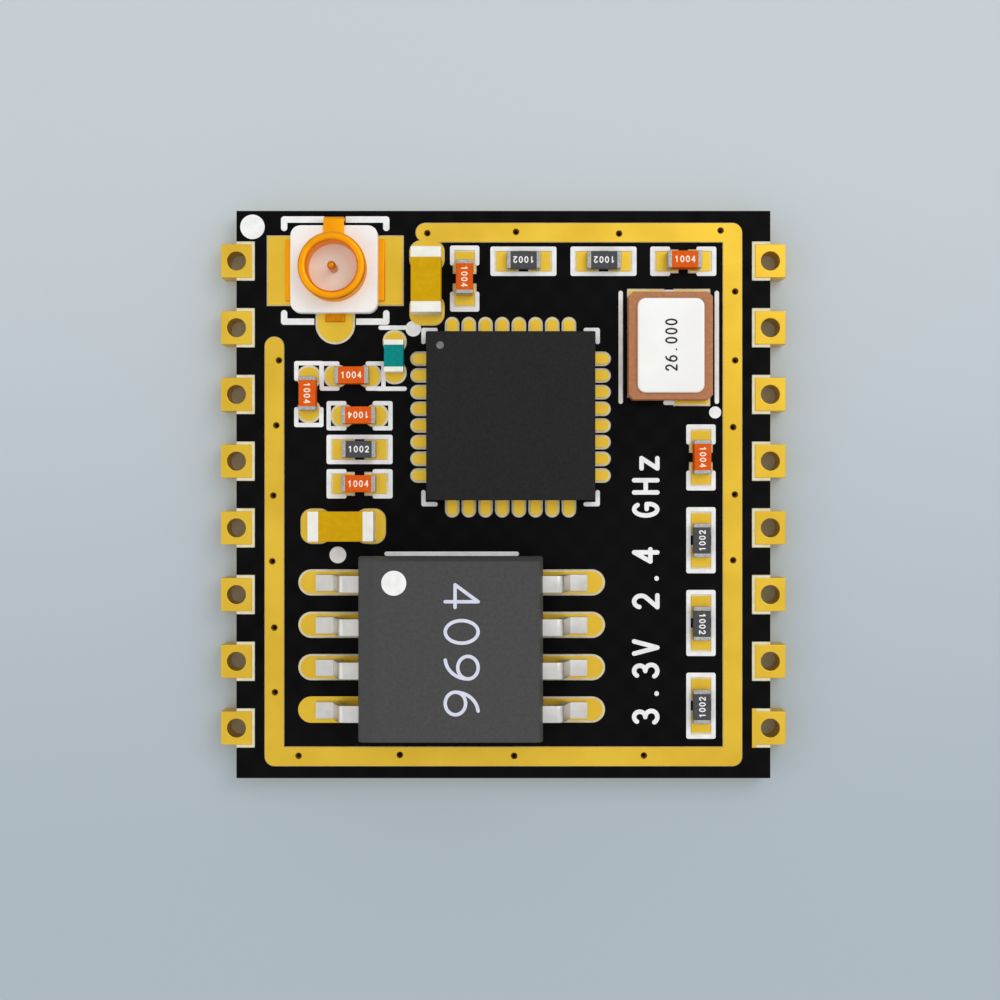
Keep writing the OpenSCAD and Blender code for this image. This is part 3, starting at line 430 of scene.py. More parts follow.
def grained(name, dark, light, size, rough, metal=0.0, specular=0.4, bump=0.001, bump_size=0.05,
            stretch=(1, 1, 1)):
    """A finish of two tones in blotches of size mm, with the gloss between the two values of
    rough, and a bump of that depth and size in mm."""
    material = bpy.data.materials.new(name)
    tree = tree_of(material)
    blotch = noise(tree, size, stretch)
    colour = blend(tree, ranged(tree, blotch, 0, 1), tint(dark), tint(light))
    surface(tree, colour, ranged(tree, blotch, *rough), metal, specular,
            noise(tree, bump_size, stretch, 2.0), bump)
    return material


# %% [markdown]
# The board's own finishes. Solder mask is a thin dark film over glass cloth, and the cloth's
# threads show through as a faint weave of hills. The bare laminate between mask and copper is
# cream, and on the board's cut edge its layers of cloth and resin show as fine bands.

# %% Board finishes
WEAVE_PITCH, CLOTH_LAYER = 0.5, 0.13

def weave(tree, pitch):
    """Hills of a plain weave: the product of two sines, each with a period of two threads."""
    axes = object_axes(tree)
    waves = [sums(tree, "SINE", sums(tree, "MULTIPLY", axes[k], math.pi / (pitch * MM)))
             for k in range(2)]
    return sums(tree, "MULTIPLY_ADD", sums(tree, "MULTIPLY", waves[0], waves[1]), 0.5, 0.5)


def mask_finish():
    """Near-black film, faintly lighter on the hills of the cloth under it."""
    material = bpy.data.materials.new("black_solder_mask")
    tree = tree_of(material)
    hills = weave(tree, WEAVE_PITCH)
    cloud = noise(tree, 2.5)
    light = blend(tree, ranged(tree, cloud, 0, 1), tint("030303"), tint("080808"))
    colour = blend(tree, ranged(tree, hills, 0, 0.7, 0.2, 1.0), light, tint("0D0D0D"))
    surface(tree, colour, ranged(tree, cloud, 0.34, 0.44), 0.0, 0.05, hills, 0.0006)
    return material


def laminate_finish():
    """Cream resin with a weave, and bands of cloth up the cut edge."""
    material = bpy.data.materials.new("cream_laminate")
    tree = tree_of(material)
    up = object_axes(tree)[2]
    bands = sums(tree, "SINE", sums(tree, "MULTIPLY", up, 2 * math.pi / (CLOTH_LAYER * MM)))
    fibre = noise(tree, 0.05, (6, 6, 1))
    both = sums(tree, "MULTIPLY_ADD", bands, 0.18, fibre)
    colour = blend(tree, ranged(tree, both, 0, 1, 0.3, 0.7), tint("D9CE9F"), tint("EFE8CB"))
    surface(tree, colour, ranged(tree, fibre, 0.5, 0.65), 0.0, 0.3,
            weave(tree, WEAVE_PITCH), 0.001)
    return material


MASK = mask_finish()
LAMINATE = laminate_finish()
GOLD = grained("plated_gold", "E2B93A", "EAC341", 1.5, (0.34, 0.42), metal=1.0,
               bump=0.0006, bump_size=0.06)
INK = grained("white_legend_ink", "EDEDEC", "FAFAFA", 0.25, (0.5, 0.65), bump=0.0012,
              bump_size=0.07)
TIN = grained("matt_tin", "CFCDC9", "D9D7D3", 0.3, (0.36, 0.46), metal=1.0, bump=0.0008,
              bump_size=0.04)

# %% Flat nodes that stay
def dress(finish, *nodes):
    """Gives the finish to nodes that keep their own mesh."""
    for node in nodes:
        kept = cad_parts[node]
        if not kept.material_slots:
            kept.data.materials.append(finish)
        for place in kept.material_slots:
            place.material = finish


dress(MASK, "top_solder_mask", "bottom_solder_mask")
dress(LAMINATE, "circuit_board")
dress(GOLD, "ground_ring", "chip_lands", "radio_chip_lands", "memory_chip_lands",
      "crystal_lands", "crystal_terminals", "antenna_socket_lands")
dress(INK, "legend", "memory_chip_dot")
dress(TIN, "radio_chip_leads", "radio_chip_heat_pad")
print("materials so far:", len(bpy.data.materials))

# %% [markdown]
# ## The edge contacts
# Sixteen gold lugs stand on the two long edges, each with a plated hole. One lug is a ring in
# the mesh sense too: its outline runs out over the top, down the outside, in under the foot and
# up the bore. Square and circle are joined by giving both the same number of points.

# %% Edge contacts
CONTACT_W, CONTACT_REACH, HOLE_R = 1.0, 0.46, 0.28
CONTACT_GAP = 0.09
LUG_EDGE = 0.02
TAB_OVERLAP, TAB_EDGE = 0.03, 0.008   # the square tab behind the last lug on the right
CONTACTS_Y = np.arange(7, -8, -2)

def squared_circle(r, count):
    """A circle's points, started at the same place as plan starts: on the right, going round."""
    a = np.linspace(0, 2 * math.pi, count, endpoint=False)
    return np.stack([r * np.cos(a), r * np.sin(a)], -1)


def round_the_square(x0, x1, y0, y1, count):
    """The rectangle's outline at the same angles as the circle's: each point of the circle is
    pushed out along its own direction until it meets the nearer wall, and the corners are
    kept by moving the nearest point onto each."""
    ring = squared_circle(1, count)
    reach = np.minimum(np.where(ring[:, 0] > 0, x1, -x0) / np.maximum(np.abs(ring[:, 0]), 1e-9),
                       np.where(ring[:, 1] > 0, y1, -y0) / np.maximum(np.abs(ring[:, 1]), 1e-9))
    square = ring * reach[:, None]
    for corner in ((x1, y1), (x0, y1), (x0, y0), (x1, y0)):
        square[np.argmin(np.linalg.norm(square - corner, axis=1))] = corner
    return square


def lug(x0, x1, y0, y1, top, r):
    """A plated lug with its hole: outlines up the outside, in over the top and down the bore."""
    count = 64
    outer = lambda e: round_the_square(x0 + e, x1 - e, y0 + e, y1 - e, count)
    bore = lambda e: squared_circle(r + e, count)
    e = LUG_EDGE
    a = np.linspace(0, math.pi / 2, EDGE_STEPS + 1)
    lines, heights = [], []
    for sweep in a:
        lines.append(outer(e * (1 - math.sin(sweep))))
        heights.append(e * (1 - math.cos(sweep)))
    for sweep in a:
        lines.append(outer(e * (1 - math.cos(sweep))))
        heights.append(top - e * (1 - math.sin(sweep)))
    lines += [outer(1.3 * e), bore(1.3 * e)]
    heights += [top, top]
    for sweep in a[::-1]:
        lines.append(bore(e * (1 - math.cos(sweep))))
        heights.append(top - e * (1 - math.sin(sweep)))
    for sweep in a:
        lines.append(bore(e * (1 - math.cos(sweep))))
        heights.append(e * (1 - math.sin(sweep)))
    lines += [bore(1.3 * e), outer(1.3 * e)]
    heights += [0, 0]
    return stack(lines, heights, closed=True)


one_lug = lug(-CONTACT_REACH, CONTACT_REACH, -CONTACT_W / 2, CONTACT_W / 2, LAND_TOP, HOLE_R)
EDGE_X = board_hi[0]
left_lugs = joined(*[moved(one_lug, (-EDGE_X, y, 0)) for y in CONTACTS_Y])
right_lugs = joined(*[moved(one_lug, (EDGE_X, y, 0)) for y in CONTACTS_Y],
                    block((EDGE_X - CONTACT_REACH - CONTACT_GAP,
                           CONTACTS_Y[-1] - CONTACT_W / 2 - CONTACT_GAP, BOARD_TOP),
                          (EDGE_X - CONTACT_REACH + TAB_OVERLAP,
                           CONTACTS_Y[-1] + CONTACT_W / 2 + CONTACT_GAP, LAND_TOP), TAB_EDGE))
piece("left_edge_lugs", left_lugs, GOLD, "gold", "board_contacts_left")
piece("right_edge_lugs", right_lugs, GOLD, "gold", "board_contacts_right")
print("faces in one lug:", len(one_lug[1]))

# %% [markdown]
# ## The radio chip
# A flat moulded package with its leads under it. It is one block with a dish pressed into the
# first corner. More grid lines cross there, and each point near the dish's middle sinks by the
# fourth power of its distance, which leaves a flat floor and a steep rim.

# %% Radio chip
BLACK = grained("black_moulding", "202020", "262626", 0.09, (0.5, 0.62), specular=0.1,
                bump=0.0012, bump_size=0.03)
DISH_GREY = grained("worn_moulding", "6E6E6E", "7C7C7C", 0.05, (0.5, 0.6), bump=0.001)
DISH_R, DISH_IN, DISH_DEPTH = 0.115, 0.42, 0.03
DISH_LIFT = 0.0015         # how far the lighter floor lies over the moulding
RADIO_EDGE = 0.03
SAWN = 0.006               # how far the moulding stands behind the leads at its sides

radio_lo, radio_hi = span("radio_chip_body")
dish_x, dish_y = radio_lo[0] + DISH_IN, radio_hi[1] - DISH_IN

def dished(points, x, y, r, depth, top):
    """Sinks the points of the top face by depth (1 - (d / r) ^ 4) within r of the place."""
    d = np.hypot(points[:, 0] - x, points[:, 1] - y) / r
    sunk = np.clip(1 - d ** 4, 0, 1) * depth
    points = points.copy()
    points[:, 2] -= np.where(points[:, 2] > top - 1e-4, sunk, 0)
    return points


rings = DISH_R * np.array([0, 0.3, 0.55, 0.75, 0.88, 0.96, 1.03, 1.12])
across_dish = np.concatenate([-rings[1:], rings])
points, faces = block(radio_lo + (SAWN, SAWN, 0), radio_hi - (SAWN, SAWN, 0), RADIO_EDGE,
                      (dish_x + across_dish, dish_y + across_dish, ()))
points = dished(points, dish_x, dish_y, DISH_R, DISH_DEPTH, radio_hi[2])
piece("radio_moulding", (points, faces), BLACK, "black_moulding", "radio_chip_body")
r = np.linspace(0, 0.97, 9)
dish = np.column_stack([r * DISH_R, radio_hi[2] - DISH_DEPTH * (1 - r ** 4) + DISH_LIFT])
piece("radio_dish_floor", moved(turned(dish, 32, closed=False), (dish_x, dish_y, 0)),
      DISH_GREY, "black_moulding")

# %% [markdown]
# ## The memory chip
# Two mould halves meet at the leads, so both halves slope away from that line, and the edge on
# the first-lead side is cut back to a slope. That is a stack of outlines again, with each side
# drawn in by its own amount.

# %% Memory chip moulding
GREY = grained("grey_moulding", "464646", "4C4C4C", 0.1, (0.52, 0.64), specular=0.12,
               bump=0.0015, bump_size=0.035)
DRAFT, BEVEL, BEVEL_DROP = 0.12, 0.4, 0.32
SEAM = 0.02                # half the height of the upright band where the halves meet
MOULD_EDGE, MOULD_CORNER = 0.03, 0.08

memory_lo, memory_hi = span("memory_chip_body")
memory_h = memory_hi[2] - memory_lo[2]

def memory_moulding():
    """Outlines up the moulding: the draft grows away from the seam, the left side follows the
    slope above the last 0.32 mm, and the top edge is a quarter circle."""
    seam = memory_h / 2
    low = [(0, 1.3 * MOULD_EDGE), (0, MOULD_EDGE), (0.3 * MOULD_EDGE, 0.3 * MOULD_EDGE),
           (MOULD_EDGE, 0), (seam - SEAM, 0), (seam + SEAM, 0), (memory_h - BEVEL_DROP, 0)]
    a = np.linspace(0, math.pi / 2, EDGE_STEPS + 1)
    high = [(memory_h - MOULD_EDGE * (1 - math.sin(t)), MOULD_EDGE * (1 - math.cos(t))) for t in a]
    high.append((memory_h, 1.4 * MOULD_EDGE))
    lines, heights = [], []
    for h, more in low + high:
        away = max(abs(h - seam) - SEAM, 0) / (seam - SEAM)
        e = DRAFT * away + more
        slope = max(0, h - (memory_h - BEVEL_DROP)) / BEVEL_DROP * BEVEL
        lines.append(plan(memory_lo[0] + e + slope, memory_hi[0] - e,
                          memory_lo[1] + e, memory_hi[1] - e, MOULD_CORNER))
        heights.append(memory_lo[2] + h)
    return stack(lines, heights)


piece("memory_moulding", memory_moulding(), GREY, "grey_moulding", "memory_chip_body", crease=25)

# %% [markdown]
# The leads leave the seam level, turn down at the shoulder and flatten into a foot on the land.
# Each is a sheet 0.2 mm thick carried along that path.

# %% Memory chip leads
LEAD_T, LEAD_W, LEAD_SPAN, LEAD_FOOT, SHOULDER = 0.2, 0.5, 8.1, 0.58, 0.5
LEAD_PITCH = 1.27
LEAD_ROOT, LEAD_BEND, LEAD_EDGE = 0.3, 0.13, 0.02   # depth inside the moulding, bends, edges
memory_x = middle("memory_chip_body")[0]
half_w = (memory_hi[0] - memory_lo[0]) / 2
seam_z = (memory_lo[2] + memory_hi[2]) / 2
foot_z = LAND_TOP + LEAD_T / 2
lead = strip([(half_w - LEAD_ROOT, seam_z), (half_w + SHOULDER, seam_z),
              (LEAD_SPAN / 2 - LEAD_FOOT, foot_z), (LEAD_SPAN / 2, foot_z)],
             LEAD_BEND, LEAD_W, LEAD_T, LEAD_EDGE)
rows = LEAD_PITCH * (np.arange(4) - 1.5) + middle("memory_chip_leads")[1]
leads = [moved(lead, (memory_x, y, 0), turn) for y in rows for turn in (0, 180)]
piece("memory_gull_leads", joined(*leads), TIN, "tin", "memory_chip_leads")

# %% [markdown]
# ## The crystal
# A ceramic tray with cut corners holds the quartz blank, and a thin metal lid closes it. The
# tray is a closed stack: up the outside, in over the rim and down into the cavity, so the
# blank inside still has its room.

# %% Crystal
CERAMIC = grained("brown_ceramic", "AC6F48", "BA7B52", 0.12, (0.55, 0.7), bump=0.002,
                  bump_size=0.05)
LID_RIM = 0.06             # the lid's sloping rim, whose darker beige is painted shade

def lid_finish(top):
    """Pale satin metal whose rim, below the flat top, is painted a darker beige as shade."""
    material = bpy.data.materials.new("pale_lid")
    tree = tree_of(material)
    up = object_axes(tree)[2]
    cloud = noise(tree, 2.0)
    flat = blend(tree, ranged(tree, cloud, 0, 1), tint("F1F0ED"), tint("F7F7F5"))
    # painted shade: below the flat top the rim turns a darker beige
    high = ranged(tree, up, 0, 1, (top - 0.8 * LID_RIM) * MM, (top - 0.1 * LID_RIM) * MM)
    colour = blend(tree, high, tint("B9A283"), flat)
    surface(tree, colour, ranged(tree, cloud, 0.36, 0.42), 0.25, 0.3, noise(tree, 0.06), 0.0006)
    return material


QUARTZ = grained("quartz_blank", "D5DEE2", "E2EAEC", 0.3, (0.08, 0.15), bump=0.0002)
GLUE = grained("silver_glue", "8F8F8F", "A3A3A3", 0.05, (0.45, 0.6), metal=0.7, bump=0.003,
               bump_size=0.03)
dress(QUARTZ, "crystal_blank")
dress(GLUE, "crystal_glue")

CASE_CUT, CASE_WALL, CASE_FLOOR = 0.14, 0.4, 0.2
CASE_EDGE, CAVITY_CORNER = 0.025, 0.1
LID_CORNER, LID_FOOT = 0.25, 0.005
case_lo, case_hi = span("crystal_base")

def case_plan(e, corner, bulge=0.0):
    """The tray's outline drawn in by e."""
    return plan(case_lo[0] + e, case_hi[0] - e, case_lo[1] + e, case_hi[1] - e, corner,
                bulge=bulge)


r = CASE_EDGE
profile = [(r, case_lo[2]), (0, case_lo[2] + r), (0, case_hi[2] - r),
           (0.3 * r, case_hi[2] - 0.3 * r), (r, case_hi[2]), (CASE_WALL, case_hi[2]),
           (CASE_WALL, case_lo[2] + CASE_FLOOR)]
corners = [CASE_CUT - 0.6 * min(e, r) if e < CASE_WALL else CAVITY_CORNER
           for e, _ in profile]
tray = stack([case_plan(e, c) for (e, _), c in zip(profile, corners)], [z for _, z in profile])
piece("crystal_tray", tray, CERAMIC, "brown_ceramic", "crystal_base", crease=30)

lid_lo, lid_hi = span("crystal_lid")
LID = lid_finish(lid_hi[2])
piece("crystal_cover", plate(lid_lo[0], lid_hi[0], lid_lo[1], lid_hi[1], lid_lo[2], lid_hi[2],
                             LID_CORNER, LID_RIM, LID_FOOT), LID, "pale_lid", "crystal_lid")

# %% [markdown]
# ## The antenna socket
# White plastic carries a gold ring that the plug clips over, with the signal pin in its middle.
# The ring is a turned profile that closes on itself: up the drawn wall, in at the groove, round
# the lip and down the bore. The sheet it was drawn from reaches out as two wide legs, and as a
# strap that steps over the plastic and down to the board.

# %% Antenna socket
PLASTIC = grained("white_plastic", "F8F8F6", "FDFDFC", 0.6, (0.42, 0.5), bump=0.0008)
SOCKET_GOLD = grained("deep_gold", "F6A012", "FCA818", 0.5, (0.42, 0.5), metal=1.0,
                      bump=0.0006, bump_size=0.05)
PIN_GOLD = grained("pin_gold", "C9780A", "DE8E16", 0.1, (0.3, 0.4), metal=1.0, bump=0.0006)

base_lo, base_hi = span("antenna_socket_base")
shell_lo, shell_hi = span("antenna_socket_shell")
pin_lo, pin_hi = span("antenna_socket_pin")
socket_x, socket_y = ((base_lo + base_hi) / 2)[:2]
SHEET = 0.1
RING_R, RING_WALL, GROOVE, LIP, GROOVE_H = 1.0, 0.26, 0.05, 0.35, 0.2
STRAP_W, PIN_R, LEG_W = 0.61, 0.125, 0.59
BASE_CORNER, BASE_EDGE, BASE_FOOT = 0.3, 0.05, 0.02
STRAP_BEND, STRAP_EDGE = 0.09, 0.02
SIDE_LEG_HALF, LEG_EDGE = 0.92, 0.03

piece("socket_moulding", plate(base_lo[0], base_hi[0], base_lo[1], base_hi[1], base_lo[2],
                               base_hi[2], BASE_CORNER, BASE_EDGE, BASE_FOOT),
      PLASTIC, "white_plastic", "antenna_socket_base")

top = shell_hi[2]
lip_r = RING_WALL / 2
t = np.linspace(0, 1, 9)
groove_z = top - LIP - GROOVE_H * (1 - t)
groove_r = RING_R - GROOVE * np.sin(math.pi * t) - GROOVE / 2 * (1 - t)
a = np.linspace(0, math.pi, 15)
round_lip = np.column_stack([RING_R - lip_r + lip_r * np.cos(a), top - lip_r + lip_r * np.sin(a)])
wall = np.concatenate([[[RING_R, base_lo[2] + SHEET / 2]], np.column_stack([groove_r, groove_z]),
                       round_lip, [[RING_R - RING_WALL, base_lo[2] + SHEET / 2]]])
ring = turned(wall, 96)
strap = strip([(RING_R - RING_WALL / 2, base_hi[2] + SHEET / 2),
               (shell_hi[1] - socket_y - SHEET / 2, base_hi[2] + SHEET / 2),
               (shell_hi[1] - socket_y - SHEET / 2, MASK_TOP)],
              STRAP_BEND, STRAP_W, SHEET, STRAP_EDGE)
legs = block((shell_lo[0], socket_y - SIDE_LEG_HALF, base_lo[2]),
             (2 * socket_x - shell_lo[0], socket_y + SIDE_LEG_HALF, base_lo[2] + SHEET), LEG_EDGE)
piece("socket_outer_contact",
      joined(moved(ring, (socket_x, socket_y, 0)), moved(strap, (socket_x, socket_y, 0), 90),
             legs),
      SOCKET_GOLD, "socket_gold", "antenna_socket_shell", crease=50)

a = np.linspace(0, math.pi / 2, 9)
tip = np.column_stack([PIN_R * np.cos(a), pin_hi[2] - PIN_R + PIN_R * np.sin(a)])
pin = turned(np.concatenate([[[0, pin_lo[2]], [PIN_R, pin_lo[2]]], tip]), 40, closed=False)
leg = block((socket_x - LEG_W / 2, pin_lo[1], pin_lo[2]),
            (socket_x + LEG_W / 2, pin_hi[1], pin_lo[2] + SHEET), LEG_EDGE)
piece("socket_signal_pin", joined(moved(pin, (socket_x, socket_y, 0)), leg), PIN_GOLD,
      "socket_gold", "antenna_socket_pin", crease=50)

# %% [markdown]
# ## The small chips
# Resistors, capacitors and the inductor are all a ceramic block with metal dipped over both
# ends. The caps stand a hair proud of the body. One function reads the box of a chip's ends, so
# it works whichever way the chip lies.

# %% Small chips
RESISTOR_GLAZE = grained("resistor_glaze", "464648", "4E4E50", 0.08, (0.4, 0.5), specular=0.15,
                         bump=0.001)
CAPACITOR_CERAMIC = grained("capacitor_ceramic", "D95408", "E3600E", 0.09, (0.5, 0.62),
                            specular=0.1, bump=0.0015, bump_size=0.03)
INDUCTOR_CERAMIC = grained("inductor_ceramic", "008280", "008C89", 0.12, (0.4, 0.5),
                           specular=0.08, bump=0.001)
BULK_CERAMIC = grained("bulk_ceramic", "CC9D00", "D4A604", 0.2, (0.5, 0.6), specular=0.08,
                       bump=0.0015)
CAP_METAL = grained("dipped_ends", "9E9C98", "BDBBB7", 0.06, (0.35, 0.5), metal=0.8, bump=0.0015,
                    bump_size=0.03)
PALE_METAL = grained("pale_ends", "EDECE2", "F5F4EA", 0.3, (0.38, 0.48), metal=0.5, bump=0.0008)
CHIP_EDGE, CORE_EDGE = 0.03, 0.02
BODY_IN = 0.008
SMALL_CAP, COIL_CAP, BULK_CAP = 0.13, 0.17, 0.33   # lengths of the dipped ends

def chip(name, end, body_finish, cap_finish, slot_name):
    """A chip's body and its two end caps, end mm long, along the longer side of its box."""
    lo, hi = span(name + "_ends")
    k = int(np.argmax((hi - lo)[:2]))
    inset = np.full(3, BODY_IN)
    inset[k] = end / 2
    piece(name + "_core", block(lo + inset, hi - inset, CORE_EDGE), body_finish, slot_name,
          name + "_body")
    caps = []
    for from_low in (True, False):
        cap_lo, cap_hi = lo.copy(), hi.copy()
        if from_low:
            cap_hi[k] = lo[k] + end
        else:
            cap_lo[k] = hi[k] - end
        caps.append(block(cap_lo, cap_hi, min(CHIP_EDGE, 0.4 * end)))
    piece(name + "_caps", joined(*caps), cap_finish, "tin", name + "_ends")


for number in range(1, 7):
    chip(f"resistor_{number}", SMALL_CAP, RESISTOR_GLAZE, CAP_METAL, "resistor_glaze")
for number in range(1, 8):
    chip(f"capacitor_{number}", SMALL_CAP, CAPACITOR_CERAMIC, CAP_METAL, "capacitor_ceramic")
chip("inductor_1", COIL_CAP, INDUCTOR_CERAMIC, PALE_METAL, "inductor_ceramic")
for number in (1, 2):
    chip(f"bulk_capacitor_{number}", BULK_CAP, BULK_CERAMIC, PALE_METAL, "bulk_ceramic")
print("pieces so far:", len(made))

# %% [markdown]
# ## The vias
# Along the gold ring, plated holes join it to the lower copper. Their lining is painted a dark
# brown as the shade inside the holes, and it thickens towards the mouth, so each hole narrows
# inwards like a funnel.

# %% Via linings
RING_X, RING_Y = 6.865, 7.85
VIA_R, VIA_NECK = 0.0995, 0.05
VIA_SUNK, VIA_FUNNEL, VIA_DEPTH = 0.004, 0.09, 0.3
VIAS = np.array(
    [[x * RING_X, RING_Y + out] for x, out in
     ((-0.332, -0.02), (0.055, 0.02), (0.505, -0.03), (0.948, 0.06))]
    + [[RING_X + out, y * RING_Y] for y, out in
       ((0.775, 0.08), (0.512, 0.08), (0.257, 0.02), (0, 0.07), (-0.251, 0.02))]
    + [[x * RING_X, -RING_Y - out] for x, out in
       ((-0.894, -0.02), (-0.452, -0.05), (0.047, -0.02), (0.613, -0.03))]
    + [[-RING_X - out, y * RING_Y] for y, out in
       ((0.512, -0.14), (0.264, -0.06), (-0.004, 0.03), (-0.255, 0.06), (-0.508, 0),
        (-0.755, -0.02))])
# painted shade: the dark brown of the lining stands for the shade inside the via holes
VIA_SHADE_BROWN = grained("via_lining", "6E4D0E", "8A6418", 0.04, (0.5, 0.65), metal=0.4, bump=0.001)

t = np.linspace(0, 1, 7)
funnel = np.column_stack([VIA_R + (VIA_NECK - VIA_R) * t,
                          LAND_TOP - VIA_SUNK - VIA_FUNNEL * t ** 1.5])
foot = BOARD_TOP - VIA_DEPTH
lining = turned(np.concatenate([funnel, [[VIA_NECK, foot], [VIA_R, foot]]]), 24)
piece("via_linings", joined(*[moved(lining, (x, y, 0)) for x, y in VIAS]), VIA_SHADE_BROWN, "gold")

# %% [markdown]
# ## Lettering
# Marks are drawn as a pen draws them. A character is a few strokes in a box 0.6 wide and 1 high,
# and a stroke is a flat band of even width with round ends. The same characters, stretched and
# turned, serve for the large print on the board and the tiny numbers on the chips.

# %% A stroke of ink
def arc(x, y, rx, ry, start, stop):
    """Points along an ellipse about (x, y), from one angle to another in degrees."""
    a = np.radians(np.linspace(start, stop, 2 + abs(stop - start) // 12))
    return np.stack([x + rx * np.cos(a), y + ry * np.sin(a)], -1)


def bars(*points):
    """Straight strokes from each point to the next."""
    return [np.array(pair, float) for pair in zip(points[:-1], points[1:])]


def stroke(path, half, low, high):
    """A flat band along a path: its section at the point p runs from p - w n to p + w n, where n
    is square to the path. w is half the pen's width, and beyond each end it closes as the
    circle does: half sin a, at the distance half cos a. A path back to its start is closed."""
    closed = np.allclose(path[0], path[-1])
    if closed:
        path = path[:-1]
        along = np.roll(path, -1, 0) - np.roll(path, 1, 0)
        w = np.full(len(path), half)
    else:
        a = np.linspace(0, math.pi / 2, 5)[:-1]
        along = np.gradient(path, axis=0)
        ends = along[[0, -1]] / np.linalg.norm(along[[0, -1]], axis=1)[:, None]
        before = path[0] - half * np.cos(a)[:, None] * ends[0]
        beyond = path[-1] + half * np.cos(a[::-1])[:, None] * ends[1]
        w = np.concatenate([half * np.sin(a), np.full(len(path), half), half * np.sin(a[::-1])])
        along = np.concatenate([np.tile(ends[0], (4, 1)), along, np.tile(ends[1], (4, 1))])
        path = np.concatenate([before, path, beyond])
    along = along / np.linalg.norm(along, axis=1)[:, None]
    side = np.column_stack([-along[:, 1], along[:, 0]]) * w[:, None]
    grid = np.empty((len(path), 4, 3))
    grid[:, (0, 3), :2] = (path + side)[:, None]
    grid[:, (1, 2), :2] = (path - side)[:, None]
    grid[:, :2, 2], grid[:, 2:, 2] = high, low
    faces = grid_faces(len(path), 4, round_rows=closed, round_columns=True)
    return welded((grid.reshape(-1, 3), faces.tolist()))


# %% The characters
CHARACTERS = {
    "0": [arc(0.3, 0.5, 0.3, 0.5, 0, 360)],
    "1": bars((0.1, 0.78), (0.34, 1), (0.34, 0)),
    "2": [np.concatenate([arc(0.3, 0.7, 0.28, 0.3, 165, -45), [[0.02, 0]]])]
         + bars((0.02, 0), (0.6, 0)),
    "3": [arc(0.28, 0.76, 0.26, 0.24, 150, -90), arc(0.28, 0.26, 0.3, 0.26, 90, -150)],
    "4": bars((0.45, 0), (0.45, 1), (0, 0.3), (0.6, 0.3)),
    "6": [arc(0.3, 0.31, 0.3, 0.31, 0, 360), arc(0.55, 0.31, 0.55, 0.69, 95, 180)],
    "V": bars((0, 1), (0.3, 0), (0.6, 1)),
    "G": [arc(0.3, 0.5, 0.3, 0.5, 45, 330)] + bars((0.56, 0.25), (0.56, 0.46), (0.32, 0.46)),
    "H": bars((0, 0), (0, 1)) + bars((0.6, 0), (0.6, 1)) + bars((0, 0.5), (0.6, 0.5)),
    "z": bars((0.05, 0.68), (0.55, 0.68), (0.05, 0), (0.55, 0)),
    ".": bars((0.29, 0.03), (0.31, 0.03)),
    " ": [],
}
CHARACTERS["9"] = [np.array([0.6, 1.0]) - path for path in CHARACTERS["6"]]
INK_T, INK_STEP = 0.008, 0.0004

def word(text, pitch, width, height, pen, low):
    """A line of characters about the origin, each width by height over its ink and pitch from
    the next. A character's strokes lie a hair above one another where they cross."""
    strokes = []
    for i, character in enumerate(text):
        for k, path in enumerate(CHARACTERS[character]):
            x = (i - (len(text) - 1) / 2) * pitch + (path[:, 0] / 0.6 - 0.5) * (width - pen)
            y = (path[:, 1] - 0.5) * (height - pen)
            strokes.append(stroke(np.stack([x, y], -1), pen / 2, low, low + INK_T + INK_STEP * k))
    return joined(*strokes)


# %% [markdown]
# The board carries its supply voltage and its radio band, the memory chip and the crystal plain
# numbers, and each small chip a four-digit value. Those on the chips follow the way each chip
# was laid on the board, so some stand on their heads.

# %% Marks
DARK_MARK = grained("burnt_mark", "262626", "343434", 0.05, (0.5, 0.6), specular=0.1)
MOON_INK = grained("pale_marking_ink", "D3D7E8", "DDE0EE", 0.2, (0.5, 0.6), specular=0.1)
CREAM_INK = grained("cream_marking_ink", "FBE6CF", "FFF0DC", 0.1, (0.5, 0.6), specular=0.1)

# pitch, width, height and pen of each print, and the place of its middle
BOARD_TYPE, BOARD_PLACE = (0.69, 0.5, 0.83, 0.135), (4.265, -2.86, 0)
MEMORY_TYPE, MEMORY_PLACE = (1.03, 0.75, 1.05, 0.1), (-1.205, -4.475, 0)
LID_TYPE, LID_PLACE = (0.27, 0.2, 0.37, 0.05), (4.96, 4.42, 0)
CHIP_TYPE = (0.165, 0.125, 0.2, 0.034)

board_word = word("3.3V 2.4 GHz", *BOARD_TYPE, MASK_TOP)
piece("board_print", moved(board_word, BOARD_PLACE, 90), INK, "legend_ink")
memory_word = word("4096", *MEMORY_TYPE, memory_hi[2])
piece("memory_print", moved(memory_word, MEMORY_PLACE, -90), MOON_INK, "legend_ink")
lid_word = word("26.000", *LID_TYPE, lid_hi[2])
piece("crystal_print", moved(lid_word, LID_PLACE, 90), DARK_MARK, "pale_lid")

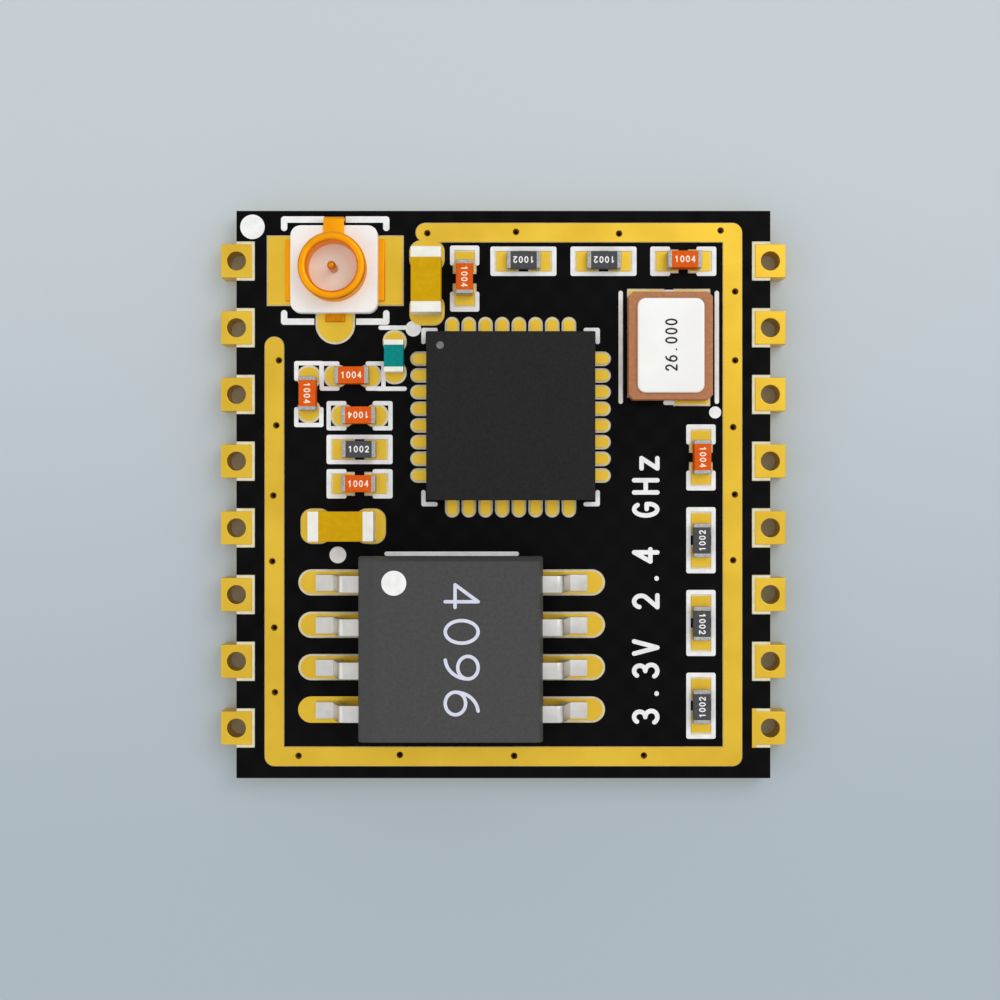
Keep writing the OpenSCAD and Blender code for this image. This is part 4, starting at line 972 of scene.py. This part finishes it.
def chip_marks(text, turns):
    """The same mark on several chips, each turned by its own angle."""
    marks = []
    for name, turn in turns.items():
        lo, hi = span(name + "_ends")
        x, y = ((lo + hi) / 2)[:2]
        marks.append(moved(word(text, *CHIP_TYPE, hi[2] - BODY_IN), (x, y, 0), turn))
    return joined(*marks)


RESISTOR_TURNS = {"resistor_1": 180, "resistor_2": 180, "resistor_3": 0,
                  "resistor_4": 90, "resistor_5": -90, "resistor_6": 90}
CAPACITOR_TURNS = {"capacitor_1": -90, "capacitor_2": 0, "capacitor_3": 0, "capacitor_4": -90,
                   "capacitor_5": 180, "capacitor_6": 0, "capacitor_7": -90}
piece("resistor_marks", chip_marks("1002", RESISTOR_TURNS), INK, "legend_ink")
piece("capacitor_marks", chip_marks("1004", CAPACITOR_TURNS), CREAM_INK, "legend_ink")
print("marked chips:", len(RESISTOR_TURNS) + len(CAPACITOR_TURNS))

# %% [markdown]
# ## The floor, and the end
# The floor is part of the studio and not of the object.

# %% Floor
FLOOR_DROP = 0.005
FLOOR_SIDE = 600.0
FADE_HALF = 12.0           # the fade runs over twice this length

def floor_finish():
    """Pale grey-blue with painted shade that deepens it a little towards the reader."""
    material = bpy.data.materials.new("studio_floor")
    tree = tree_of(material)
    along = put(tree, "ShaderNodeMapRange", {"interpolation_type": "SMOOTHSTEP"},
                i0=object_axes(tree)[1], i1=-FADE_HALF * MM, i2=FADE_HALF * MM,
                i3=0.0, i4=1.0).outputs[0]
    # painted shade: the floor darkens towards the reader
    colour = blend(tree, along, tint("B1BDC6"), tint("C8D0D6"))
    shader = put(tree, "ShaderNodeBsdfPrincipled", Base_Color=colour, Roughness=0.8,
                 Specular_IOR_Level=0.1)
    put(tree, "ShaderNodeOutputMaterial", Surface=shader.outputs[0])
    return material


side = FLOOR_SIDE / 2 * MM
sheet = bpy.data.meshes.new("studio_floor")
sheet.from_pydata([(-side, -side, -FLOOR_DROP * MM), (side, -side, -FLOOR_DROP * MM),
                   (side, side, -FLOOR_DROP * MM), (-side, side, -FLOOR_DROP * MM)],
                  [], [(0, 1, 2, 3)])
sheet.materials.append(floor_finish())
floor = bpy.data.objects.new("studio_floor", sheet)
bpy.context.scene.collection.objects.link(floor)
